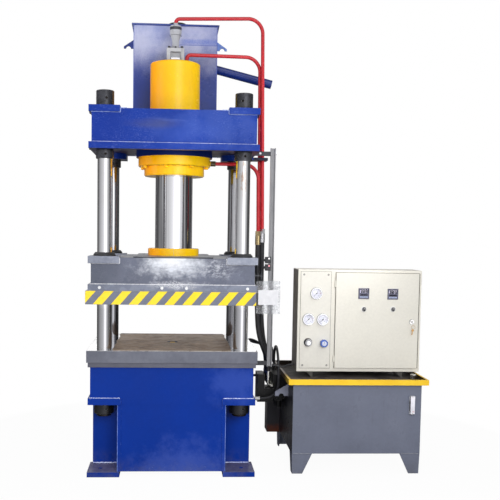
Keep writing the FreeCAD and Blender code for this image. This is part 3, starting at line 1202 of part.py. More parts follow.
def cabinet_door():
    """Pan-shaped door with meter, selector and lock holes, and its hinge knuckles."""
    x = (DOOR_X0, DOOR_X1)
    y = (DOOR_FACE, DOOR_BACK)
    z = (DOOR_Z0, DOOR_Z1)
    sheet = DOOR_SHEET
    face = box(x, (y[0], y[0] + sheet), z)
    flange_y = (y[0] + sheet, y[1])
    inner_z = (z[0] + sheet, z[1] - sheet)
    flanges = [box(x, flange_y, (z[0], inner_z[0])), box(x, flange_y, (inner_z[1], z[1])),
               box((x[0], x[0] + sheet), flange_y, inner_z), box((x[1] - sheet, x[1]), flange_y, inner_z)]
    cuts = []
    half = METER_BODY / 2 + SIDE_GAP
    for mx, mz in METER_PLACES:
        cuts.append(box((mx - half, mx + half), (y[0] - 1, y[0] + sheet + 1), (mz - half, mz + half)))
    for sx, sz in SELECTOR_PLACES:
        cuts.append(disc_y(sx, (y[0] - 1, y[0] + sheet + 1), sz, SELECTOR_STEM_R + RUN_GAP))
    cuts.append(disc_y(KEY_PLACE[0], (y[0] - 1, y[0] + sheet + 1), KEY_PLACE[1], LOCK_STEM_R + RUN_GAP))
    knuckles = []
    for hinge_z in HINGE_Z:
        third = HINGE_LENGTH / 3
        low = hinge_z - HINGE_LENGTH / 2 + third
        barrel = disc(HINGE_X, HINGE_Y, (low, low + third - SIDE_GAP), HINGE_R)
        leaf = box((HINGE_X, x[0]), (HINGE_Y - HINGE_R, HINGE_Y - HINGE_R + 2), (low, low + third - SIDE_GAP))
        pin = disc(HINGE_X, HINGE_Y, (low - 1, low + third + 1), HINGE_PIN_R + RUN_GAP)
        knuckles.append(join([barrel, leaf]).cut(pin))
    return group([face.cut(cuts)] + flanges + knuckles)


def gauge_panel():
    """Instrument panel with holes for the gauges and knobs, and its four screws."""
    y = (PANEL_FACE, CABINET_Y0)
    plate = box((PANEL_X0, PANEL_X1), y, (PANEL_Z0, PANEL_Z1))
    cuts = [disc_y(x, (y[0] - 1, y[1] + 1), z, GAUGE_CASE_R + SEAT_GAP) for x, z in GAUGE_PLACES]
    for x, z in (THROTTLE_PLACE, PRESSURE_PLACE):
        cuts.append(disc_y(x, (y[0] - 1, y[1] + 1), z, KNOB_STEM_R + RUN_GAP))
    plate = plate.cut(cuts)
    inset = PANEL_SCREW_INSET
    solids = [plate]
    for x in (PANEL_X0 + inset, PANEL_X1 - inset):
        for z in (PANEL_Z0 + inset, PANEL_Z1 - inset):
            solids.append(disc_y(x, (y[0] - PANEL_SCREW_H, y[0] + 1), z, PANEL_SCREW_R))
    return join(solids)


def pressure_gauges():
    """Three gauge cases: bezel, case, dial floor and the pin that carries the needle."""
    cases = []
    for x, z in GAUGE_PLACES:
        front = PANEL_FACE - GAUGE_PROUD
        bezel = disc_y(x, (front, PANEL_FACE), z, GAUGE_BEZEL_R)
        bezel = bezel.makeFillet(3, [e for e in bezel.Edges if e.BoundBox.YMax < front + 0.01])
        case = disc_y(x, (PANEL_FACE - 1, CABINET_Y0 + GAUGE_DEPTH), z, GAUGE_CASE_R)
        hollow = disc_y(x, (front - 1, front + GAUGE_DIAL_DEPTH), z, GAUGE_FACE_R)
        pin = disc_y(x, (front + GAUGE_DIAL_DEPTH - 6, front + GAUGE_DIAL_DEPTH + 1), z, NEEDLE_PIN_R)
        stem = disc_y(x, (CABINET_Y0 + GAUGE_DEPTH - 1, CABINET_Y0 + GAUGE_DEPTH + 20), z, 7)
        cases.append(join([bezel, case, stem]).cut(hollow).fuse(pin).removeSplitter())
    return group(cases)


def gauge_needle(x, z):
    """Needle on its hub, resting at the low end of the dial."""
    back = PANEL_FACE - GAUGE_PROUD + GAUGE_DIAL_DEPTH - 2
    y = (back - NEEDLE_THICK, back)
    turn = math.radians(NEEDLE_ZERO)
    along = Vector(math.cos(turn), 0, math.sin(turn))
    across = Vector(-along.z, 0, along.x)
    centre = Vector(x, y[0], z)
    points = [centre - along * NEEDLE_TAIL - across * 2.2, centre - along * NEEDLE_TAIL + across * 2.2,
              centre + across * 1.6, centre + along * NEEDLE_LENGTH, centre - across * 1.6]
    points.append(points[0])
    blade = Part.Face(Part.makePolygon(points)).extrude(Vector(0, NEEDLE_THICK, 0))
    hub = disc_y(x, (y[0] - 1.5, y[1]), z, NEEDLE_HUB_R)
    pin = disc_y(x, (y[0] - 2, y[1] + 1), z, NEEDLE_PIN_R + RUN_GAP)
    return blade.fuse(hub).removeSplitter().cut(pin)


def panel_meters():
    """Two square meters in the door: bezel with a sunk window, and a body behind."""
    meters = []
    for x, z in METER_PLACES:
        half = METER_SIZE / 2
        bezel = box((x - half, x + half), (DOOR_FACE - METER_PROUD, DOOR_FACE), (z - half, z + half))
        bezel = bezel.makeFillet(3, [e for e in bezel.Edges if e.BoundBox.YMax < DOOR_FACE - METER_PROUD + 0.01])
        window = box((x - METER_WINDOW_W / 2, x + METER_WINDOW_W / 2),
                     (DOOR_FACE - METER_PROUD - 1, DOOR_FACE - METER_PROUD + METER_WINDOW_DEPTH),
                     (z + half - 7 - METER_WINDOW_H, z + half - 7))
        body = box((x - METER_BODY / 2, x + METER_BODY / 2), (DOOR_FACE - 1, DOOR_FACE + METER_DEPTH),
                   (z - METER_BODY / 2, z + METER_BODY / 2))
        meters.append(join([bezel.cut(window), body]))
    return group(meters)


def selector(x, z):
    """Two-position selector: collar, bar grip and stem through the door."""
    collar = disc_y(x, (DOOR_FACE - SIDE_GAP - SELECTOR_COLLAR_H, DOOR_FACE - SIDE_GAP), z, SELECTOR_R)
    face = DOOR_FACE - SIDE_GAP - SELECTOR_COLLAR_H
    grip = box((x - SELECTOR_GRIP_W / 2, x + SELECTOR_GRIP_W / 2), (face - SELECTOR_GRIP_H, face + 1),
               (z - SELECTOR_R + 2, z + SELECTOR_R - 2))
    grip = grip.makeFillet(2, [e for e in grip.Edges if e.BoundBox.YMax < face - SELECTOR_GRIP_H + 0.01])
    stem = disc_y(x, (DOOR_FACE - SIDE_GAP - 1, DOOR_FACE + SELECTOR_STEM_L), z, SELECTOR_STEM_R)
    return join([collar, grip, stem])


def door_lock_key():
    """Lock plug with the key left in it and its cam hanging clear of the frame, unlocked."""
    x, z = KEY_PLACE
    y = DOOR_FACE - SIDE_GAP
    plug = disc_y(x, (y - LOCK_FACE_H, y), z, LOCK_R)
    stem = disc_y(x, (y - 1, y + LOCK_STEM_L), z, LOCK_STEM_R)
    cam_y = CABINET_Y0 + CABINET_SHEET + 1.5
    half = LOCK_CAM_W / 2
    cam = box((x - half, x + half), (cam_y, cam_y + 3), (z - LOCK_CAM_L, z + half))
    half = KEY_THICK / 2
    shank = box((x - half, x + half), (y - LOCK_FACE_H - KEY_SHANK_L, y - LOCK_FACE_H + 1), (z - 4, z + 4))
    bow_y = y - LOCK_FACE_H - KEY_SHANK_L - KEY_BOW_R + 3
    bow = disc_x((x - KEY_THICK / 2, x + KEY_THICK / 2), bow_y, z, KEY_BOW_R)
    hole = disc_x((x - KEY_THICK, x + KEY_THICK), bow_y - 5, z, 3)
    return join([plug, stem, cam, shank, bow]).cut(hole)


def panel_knob(place, radius, height, lobes):
    """Fluted knob on a stem that passes through the panel."""
    x, z = place
    face = PANEL_FACE - SIDE_GAP
    collar = disc_y(x, (face - KNOB_COLLAR_H, face), z, KNOB_COLLAR_R)
    front = face - KNOB_COLLAR_H - height
    knob = disc_y(x, (front, face - KNOB_COLLAR_H + 1), z, radius)
    knob = knob.makeFillet(4, [e for e in knob.Edges if e.BoundBox.YMax < front + 0.01])
    flutes = []
    for step in range(lobes):
        turn = 2 * math.pi * step / lobes
        flutes.append(disc_y(x + (radius + 2.5) * math.cos(turn), (front - 1, face - KNOB_COLLAR_H + 1),
                             z + (radius + 2.5) * math.sin(turn), 5))
    stem = disc_y(x, (face - 1, face + KNOB_STEM_L), z, KNOB_STEM_R)
    return join([collar, knob.cut(flutes), stem])


def mounting_plate():
    """Device plate on four standoffs at the cabinet's back, with rails, contactors and terminals."""
    back = CABINET_Y1 - CABINET_SHEET
    face = back - STANDOFF_LENGTH - DEVICE_PLATE_THICK
    x = (DOOR_X0 + DEVICE_PLATE_INSET_X[0], DOOR_X1 - DEVICE_PLATE_INSET_X[1])
    z = (CABINET_Z0 + DEVICE_PLATE_INSET_Z, CABINET_Z1 - DEVICE_PLATE_INSET_Z)
    solids = [box(x, (face, face + DEVICE_PLATE_THICK), z)]
    for px in (x[0] + STANDOFF_INSET, x[1] - STANDOFF_INSET):
        for pz in (z[0] + STANDOFF_INSET, z[1] - STANDOFF_INSET):
            solids.append(disc_y(px, (back - STANDOFF_LENGTH, back), pz, STANDOFF_R))
    row_x = (x[0] + DEVICE_ROW_INSET, x[1] - DEVICE_ROW_INSET)
    for row_z in DEVICE_ROWS_Z:
        rail_face = face - DEVICE_RAIL_D
        solids.append(box(row_x, (rail_face, face), (row_z - DEVICE_RAIL_H / 2, row_z + DEVICE_RAIL_H / 2)))
        for index in range(DEVICE_COUNT):
            left = row_x[0] + DEVICE_RAIL_H / 2 + index * DEVICE_PITCH
            solids.append(box((left, left + DEVICE_W), (rail_face - DEVICE_D, rail_face),
                              (row_z - DEVICE_H / 2, row_z + DEVICE_H / 2)))
    solids.append(box(row_x, (face - TERMINAL_D, face), TERMINAL_Z))
    return group(solids)


def level_gauge():
    """Sight gauge on the tank's front: two end blocks, a backing strip and the glass tube."""
    y1 = TANK_Y0
    half = LEVEL_W / 2
    strip = box((LEVEL_X - half, LEVEL_X + half), (y1 - 4, y1), (LEVEL_Z0, LEVEL_Z1))
    low = box((LEVEL_X - half, LEVEL_X + half), (y1 - LEVEL_DEPTH, y1 - 3), (LEVEL_Z0, LEVEL_Z0 + 24))
    high = box((LEVEL_X - half, LEVEL_X + half), (y1 - LEVEL_DEPTH, y1 - 3), (LEVEL_Z1 - 24, LEVEL_Z1))
    tube = disc(LEVEL_X, y1 - LEVEL_DEPTH / 2 - 2, (LEVEL_Z0 + 20, LEVEL_Z1 - 20), LEVEL_TUBE_R)
    return join([strip, low, high, tube])


def filler_breather():
    """Filler breather cap on its neck, in the tray's right front corner."""
    neck = disc(BREATHER_X, BREATHER_Y, (TRAY_FLOOR, TRAY_FLOOR + BREATHER_NECK_H + 1), BREATHER_NECK_R)
    top = TRAY_FLOOR + BREATHER_NECK_H + BREATHER_H
    cap = disc(BREATHER_X, BREATHER_Y, (TRAY_FLOOR + BREATHER_NECK_H, top), BREATHER_R)
    cap = cap.makeFillet(5, [e for e in cap.Edges if e.BoundBox.ZMin > top - 0.01])
    return join([neck, cap])


def motor():
    """Foot-mounted motor along X behind the cabinet: finned barrel, end shields, fan cover, box."""
    z = TRAY_FLOOR + MOTOR_AXIS_H
    x = (MOTOR_X0, MOTOR_X0 + MOTOR_LENGTH)
    y = MOTOR_Y
    solids = [disc_x((x[0], x[1]), y, z, MOTOR_R)]
    for step in range(MOTOR_FIN_COUNT):
        turn = 360 * (step + 0.5) / MOTOR_FIN_COUNT
        fin = box((x[0] + MOTOR_SHIELD_L, x[1] - MOTOR_SHIELD_L), (y - MOTOR_FIN_W / 2, y + MOTOR_FIN_W / 2),
                  (z + MOTOR_R - 3, z + MOTOR_R + MOTOR_FIN_H))
        fin.rotate(Vector(0, y, z), Vector(1, 0, 0), turn)
        solids.append(fin)
    solids.append(disc_x((x[0], x[0] + MOTOR_SHIELD_L), y, z, MOTOR_R + MOTOR_FIN_H))
    solids.append(disc_x((x[1] - MOTOR_SHIELD_L, x[1]), y, z, MOTOR_R + MOTOR_FIN_H))
    cover = disc_x((x[1], x[1] + FAN_COVER_L), y, z, MOTOR_R + MOTOR_FIN_H - 4)
    cover = cover.makeFillet(24, [e for e in cover.Edges if e.BoundBox.XMin > x[1] + FAN_COVER_L - 0.01])
    solids = [join(solids + [cover])]
    half = MOTOR_FOOT_W / 2
    web_x, web_y = MOTOR_WEB_INSET
    for foot_x in (x[0] + MOTOR_FOOT_INSET, x[1] - MOTOR_FOOT_INSET - MOTOR_FOOT_L):
        end_x = foot_x + MOTOR_FOOT_L
        solids.append(box((foot_x, end_x), (y - half, y + half), (TRAY_FLOOR, TRAY_FLOOR + MOTOR_FOOT_H)))
        solids.append(box((foot_x + web_x, end_x - web_x), (y - half + web_y, y + half - web_y), (TRAY_FLOOR, z)))
    box_x = x[0] + MOTOR_BOX_INSET
    solids.append(box((box_x, box_x + MOTOR_BOX_L), (y - MOTOR_BOX_W / 2, y + MOTOR_BOX_W / 2),
                      (z + MOTOR_R - 20, z + MOTOR_R + MOTOR_BOX_H)))
    return apart(solids)


def pump():
    """Bell housing on the motor's flange, piston pump and its suction leg down to the tank."""
    z = TRAY_FLOOR + MOTOR_AXIS_H
    x = MOTOR_X0
    y = MOTOR_Y
    bell = Part.makeCone(PUMP_R + 10, BELL_R, BELL_LENGTH, Vector(x - BELL_LENGTH, y, z), Vector(1, 0, 0))
    solids = [bell, disc_x((x - 14, x), y, z, MOTOR_R),
              disc_x((x - BELL_LENGTH - 12, x - BELL_LENGTH + 1), y, z, PUMP_R + 18)]
    start = x - BELL_LENGTH - 12
    body = disc_x((start - PUMP_LENGTH, start + 1), y, z, PUMP_R)
    body = body.makeFillet(10, [e for e in body.Edges if e.BoundBox.XMax < start - PUMP_LENGTH + 0.01])
    solids.append(body)
    solids.append(disc(start - PUMP_LENGTH / 2, y, (TRAY_FLOOR, z), 26))
    solids.append(disc(start - PUMP_LENGTH / 2, y, (TRAY_FLOOR, TRAY_FLOOR + 12), 44))
    return join(solids)


def valve_manifold():
    """Valve block on the tank's left wall: solenoid valves below, the directional valve on its left."""
    x = (MANIFOLD_X0, TANK_X0)
    block = box(x, (MANIFOLD_Y0, MANIFOLD_Y1), (MANIFOLD_Z0, MANIFOLD_Z1))
    block = block.makeChamfer(4, [e for e in block.Edges if e.BoundBox.YLength > 200])
    solids = [block]
    middle = (MANIFOLD_X0 + TANK_X0) / 2
    for y in SOLENOID_Y:
        solids.append(disc(middle, y, (MANIFOLD_Z0 - SOLENOID_L, MANIFOLD_Z0 + 1), SOLENOID_R))
        solids.append(box((middle - 26, middle + 26), (y - 26, y + 26), (MANIFOLD_Z0 - 18, MANIFOLD_Z0 + 1)))
    for y in TOP_PORT_Y:
        solids.append(hexagon((TOP_PORT_X, y, MANIFOLD_Z1 - 1), 27, 15, (0, 0, 1)))
        solids.append(disc(TOP_PORT_X, y, (MANIFOLD_Z1, MANIFOLD_Z1 + TOP_PORT_H), EJECTOR_HOSE_R + 2))
    valve_x = ELBOW_X - FERRULE_R - CONTROL_FERRULE_GAP
    valve = box((CONTROL_X0, valve_x), CONTROL_Y, CONTROL_Z)
    base = box((valve_x, MANIFOLD_X0), CONTROL_Y, (CONTROL_Z[0], CONTROL_BASE_TOP))
    return group([join(solids), valve, base])


def hose_elbows():
    """Plated elbows with crimped ferrules on the manifold's left face."""
    elbows = []
    for y in ELBOW_Y:
        bend = swept([(MANIFOLD_X0, y, ELBOW_Z), (ELBOW_X, y, ELBOW_Z), (ELBOW_X, y, ELBOW_TOP - FERRULE_H + 1)],
                     [ELBOW_BEND_R], ELBOW_R)
        nut = hexagon((MANIFOLD_X0 - 14, y, ELBOW_Z), 30, 14, (1, 0, 0))
        ferrule = disc(ELBOW_X, y, (ELBOW_TOP - FERRULE_H, ELBOW_TOP), FERRULE_R)
        elbows.append(join([bend, nut, ferrule]))
    return group(elbows)


# ---- free hoses and cable ----
def foot_of(foot):
    """Lower face of the union under a pipe, where its hose begins."""
    return (foot[0], foot[1], foot[2] - UNION_NUT_H - FERRULE_H)


def return_hose():
    """Hose from the return pipe down to the first elbow."""
    points = [foot_of(RETURN_FOOT), *RETURN_ROUTE, (ELBOW_X, ELBOW_Y[0], ELBOW_TOP)]
    return cord("return_hose", points, HOSE_R)


def pilot_hose():
    """Hose from the pilot pipe down to the second elbow."""
    points = [foot_of(PILOT_FOOT), *PILOT_ROUTE, (ELBOW_X, ELBOW_Y[1], ELBOW_TOP)]
    return cord("pilot_hose", points, HOSE_R)


def pressure_hose():
    """Hose from the pressure pipe down to the third elbow."""
    points = [foot_of(PRESSURE_FOOT), *PRESSURE_ROUTE, (ELBOW_X, ELBOW_Y[2], ELBOW_TOP)]
    return cord("pressure_hose", points, HOSE_R)


def ejector_hose_lower():
    """Hose from the lower bulkhead up, over in an arch and down to the manifold's front top port."""
    start = (BED_X + BULKHEAD_REACH[0], EJECTOR_PORT_Y[0], EJECTOR_PORT_Z[0])
    end = (TOP_PORT_X, TOP_PORT_Y[0], MANIFOLD_Z1 + TOP_PORT_H)
    return cord("ejector_hose_lower", [start, *EJECTOR_LOWER_ROUTE, end], EJECTOR_HOSE_R)


def ejector_hose_upper():
    """Hose from the upper bulkhead up, in a slack loop beside the table and down to the rear top port."""
    start = (BED_X + BULKHEAD_REACH[1], EJECTOR_PORT_Y[1], EJECTOR_PORT_Z[1])
    end = (TOP_PORT_X, TOP_PORT_Y[1], MANIFOLD_Z1 + TOP_PORT_H)
    return cord("ejector_hose_upper", [start, *EJECTOR_UPPER_ROUTE, end], EJECTOR_HOSE_R)


def switch_cable():
    """Cable from the rail's lower end across to the cabinet's left wall."""
    end = (CABINET_X0, CABLE_ROUTE[-1][1], CABLE_ROUTE[-1][2])
    return cord("switch_cable", [CABLE_START, *CABLE_ROUTE, end], CABLE_R)


PARTS = {
    "bed_frame": bed_frame,
    "bed_seat_plate": bed_seat_plate,
    "table_plate": table_plate,
    "guide_columns": guide_columns,
    "column_foot_nuts": column_foot_nuts,
    "crown_nuts": crown_nuts,
    "crown_frame": crown_frame,
    "cylinder_barrel": cylinder_barrel,
    "cylinder_flange_ring": cylinder_flange_ring,
    "gland_ring": gland_ring,
    "gland_bolts": gland_bolts,
    "piston_rod": piston_rod,
    "rod_clamp_ring": rod_clamp_ring,
    "slider_frame": slider_frame,
    "slider_bushes": slider_bushes,
    "slider_wipers": slider_wipers,
    "upper_platen": upper_platen,
    "platen_bolts": platen_bolts,
    "card_pouch": card_pouch,
    "striker_arm": striker_arm,
    "filling_valve_block": filling_valve_block,
    "filling_valve_body": filling_valve_body,
    "top_tank": top_tank,
    "top_tank_lid": top_tank_lid,
    "pilot_pipe": pilot_pipe,
    "pressure_pipe": pressure_pipe,
    "return_pipe": return_pipe,
    "pipe_unions": pipe_unions,
    "limit_rail": limit_rail,
    "limit_switches": limit_switches,
    "ejector_cylinder": ejector_cylinder,
    "ejector_rod": ejector_rod,
    "oil_tank": oil_tank,
    "drip_tray": drip_tray,
    "cabinet_shell": cabinet_shell,
    "cabinet_door": cabinet_door,
    "gauge_panel": gauge_panel,
    "pressure_gauges": pressure_gauges,
    "needle_top": lambda: gauge_needle(*GAUGE_PLACES[0]),
    "needle_left": lambda: gauge_needle(*GAUGE_PLACES[1]),
    "needle_right": lambda: gauge_needle(*GAUGE_PLACES[2]),
    "panel_meters": panel_meters,
    "selector_left": lambda: selector(*SELECTOR_PLACES[0]),
    "selector_right": lambda: selector(*SELECTOR_PLACES[1]),
    "door_lock_key": door_lock_key,
    "throttle_knob": lambda: panel_knob(THROTTLE_PLACE, THROTTLE_R, THROTTLE_H, 12),
    "pressure_knob": lambda: panel_knob(PRESSURE_PLACE, PRESSURE_KNOB_R, PRESSURE_KNOB_H, 8),
    "mounting_plate": mounting_plate,
    "level_gauge": level_gauge,
    "filler_breather": filler_breather,
    "motor": motor,
    "pump": pump,
    "valve_manifold": valve_manifold,
    "hose_elbows": hose_elbows,
    "return_hose": return_hose,
    "pilot_hose": pilot_hose,
    "pressure_hose": pressure_hose,
    "ejector_hose_lower": ejector_hose_lower,
    "ejector_hose_upper": ejector_hose_upper,
    "switch_cable": switch_cable,
}

os.makedirs("parts", exist_ok=True)
for node, make in PARTS.items():
    shape = make()
    solids = shape.Solids
    if not shape.isValid() or not solids:
        print("CHECK", node, "valid", shape.isValid(), "solids", len(solids))
    shape.exportStep("parts/" + node + ".step")
print(len(PARTS), "nodes written")
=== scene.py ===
"""Looks of the four-column hydraulic press and its power unit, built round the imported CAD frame."""
import math

import bpy
import numpy as np
from mathutils import Matrix, Vector


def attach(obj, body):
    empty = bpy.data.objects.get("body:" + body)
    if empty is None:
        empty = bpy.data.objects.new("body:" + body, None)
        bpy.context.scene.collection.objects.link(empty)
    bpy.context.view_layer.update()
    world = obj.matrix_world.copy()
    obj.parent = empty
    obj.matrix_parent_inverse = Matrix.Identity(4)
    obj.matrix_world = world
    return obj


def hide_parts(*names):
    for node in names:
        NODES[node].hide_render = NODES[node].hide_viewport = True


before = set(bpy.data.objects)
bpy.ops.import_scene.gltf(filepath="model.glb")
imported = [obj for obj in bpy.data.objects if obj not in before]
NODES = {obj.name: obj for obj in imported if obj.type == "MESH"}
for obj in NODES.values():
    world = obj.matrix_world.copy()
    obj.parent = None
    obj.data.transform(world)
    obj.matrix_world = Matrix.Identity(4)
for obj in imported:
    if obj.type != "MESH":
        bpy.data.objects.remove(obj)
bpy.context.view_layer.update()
scene = bpy.context.scene
scene.view_settings.view_transform = "Standard"


def show(name, data):
    """New object in the scene."""
    obj = bpy.data.objects.new(name, data)
    scene.collection.objects.link(obj)
    return obj


# ---- camera at the photograph's viewing angle ----
CAMERA_PLACE = (-.0087191, -5.48893, 1.5779)
CAMERA_YAW, CAMERA_PITCH, CAMERA_ROLL = .0559, .0704, .0145
CAMERA_LENS, SENSOR_WIDTH = 56.909, 36
CAMERA_SHIFT = (.0683, .0802)


def camera_axes(yaw, pitch, roll):
    """Right, up and back of a camera turned right by yaw, tipped down by pitch and then rolled."""
    forward = Vector((math.sin(yaw), math.cos(yaw), 0))
    right = Vector((math.cos(yaw), -math.sin(yaw), 0))
    up = Vector((0, 0, 1))
    back = up * math.sin(pitch) - forward * math.cos(pitch)
    above = up * math.cos(pitch) + forward * math.sin(pitch)
    return (right * math.cos(roll) + above * math.sin(roll),
            above * math.cos(roll) - right * math.sin(roll), back)


def place_camera():
    """The camera that puts the press where the photograph has it."""
    data = bpy.data.cameras.new("view_camera")
    data.lens = CAMERA_LENS
    data.sensor_width = SENSOR_WIDTH
    data.shift_x, data.shift_y = CAMERA_SHIFT
    data.clip_end = 100
    camera = show("view_camera", data)
    turn = Matrix(camera_axes(CAMERA_YAW, CAMERA_PITCH, CAMERA_ROLL)).transposed()
    camera.matrix_world = Matrix.Translation(CAMERA_PLACE) @ turn.to_4x4()
    scene.camera = camera


place_camera()

# ---- free hoses and cable ----
# node: diameter, length, stiffness, lay and the control points of its line
CORDS = {
    "return_hose": (.035, .904, "stiff", "hanging", (
        (.586, -.005, 1.51), (.586, -.005, 1.39), (.588, -.003, 1.15), (.594, 0, .96),
        (.612, .005, .855), (.65, .014, .76), (.678, .02, .69), (.678, .02, .62))),
    "pilot_hose": (.035, .914, "stiff", "hanging", (
        (.618, .025, 1.526), (.618, .025, 1.4), (.618, .03, 1.15), (.626, .046, .965),
        (.64, .062, .855), (.662, .074, .765), (.678, .08, .69), (.678, .08, .62))),
    "pressure_hose": (.035, .918, "stiff", "hanging", (
        (.6, .062, 1.526), (.6, .062, 1.4), (.604, .076, 1.16), (.616, .098, .97),
        (.634, .118, .86), (.66, .132, .765), (.678, .14, .69), (.678, .14, .62))),
    "ejector_hose_lower": (.018, .735, "stiff", "loose", (
        (.612, -.06, .44), (.668, -.06, .44), (.718, -.06, .469), (.742, -.06, .519),
        (.742, -.06, .585), (.74, -.058, .69), (.738, -.024, .752), (.738, .036, .787),
        (.739, .106, .787), (.741, .166, .752), (.742, .2, .692), (.742, .2, .634))),
    "ejector_hose_upper": (.018, .908, "stiff", "loose", (
        (.575, .178, .56), (.634, .178, .56), (.684, .18, .592), (.708, .183, .646),
        (.704, .19, .708), (.672, .204, .764), (.618, .228, .8), (.579, .268, .811),
        (.567, .328, .803), (.578, .39, .786), (.62, .424, .768), (.682, .418, .758),
        (.726, .385, .75), (.742, .326, .745), (.742, .275, .703), (.742, .275, .634))),
    "switch_cable": (.012, .181, "medium", "loose", (
        (.686, -.094, .68), (.716, -.094, .68), (.75, -.092, .668), (.784, -.072, .666),
        (.814, -.052, .68), (.854, -.052, .68))),
}


def lay_cord(name, diameter, length, stiffness, lay, route):
    """Hose or cable on the smooth spline whose control points are its route."""
    curve = bpy.data.curves.new(name + "_line", "CURVE")
    curve.dimensions = "3D"
    curve.bevel_depth = 1     # the points' radius gives the thickness
    curve.bevel_resolution = 6
    curve.resolution_u = 16
    curve.use_fill_caps = True
    spline = curve.splines.new("NURBS")
    spline.points.add(len(route) - 1)
    spline.points.foreach_set("co", [value for point in route for value in (*point, 1)])
    spline.points.foreach_set("radius", [diameter / 2] * len(route))
    spline.order_u = 3
    spline.use_endpoint_u = True
    cord = show(name + "_cover", curve)
    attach(cord, "root")
    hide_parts(name)
    return cord


COVERS = {name: lay_cord(name, *row) for name, row in CORDS.items()}


# ---- how node trees are written ----
class Nodes:
    """Node tree; values that are sockets are joined, others are set."""

    def __init__(self, tree):
        self.tree = tree

    def put(self, socket, value):
        """Join a socket to another, or set its number or colour."""
        if isinstance(value, bpy.types.NodeSocket):
            self.tree.links.new(value, socket)
        elif socket.type == "RGBA" and len(value) == 3:
            socket.default_value = (*value, 1)
        else:
            socket.default_value = value

    def add(self, kind, sockets=None, out=None, **settings):
        """A node with its settings and inputs by name or number; given out, that output of it."""
        node = self.tree.nodes.new("ShaderNode" + kind)
        for key, value in settings.items():
            setattr(node, key, value)
        for key, value in (sockets or {}).items():
            self.put(node.inputs[key], value)
        return node if out is None else node.outputs[out]

    def sum(self, kind, a, b=0, c=0, clamp=False):
        """One step of arithmetic."""
        return self.add("Math", {0: a, 1: b, 2: c}, 0, operation=kind, use_clamp=clamp)

    def times(self, *shares):
        """Product of several values."""
        product = shares[0]
        for share in shares[1:]:
            product = self.sum("MULTIPLY", product, share)
        return product


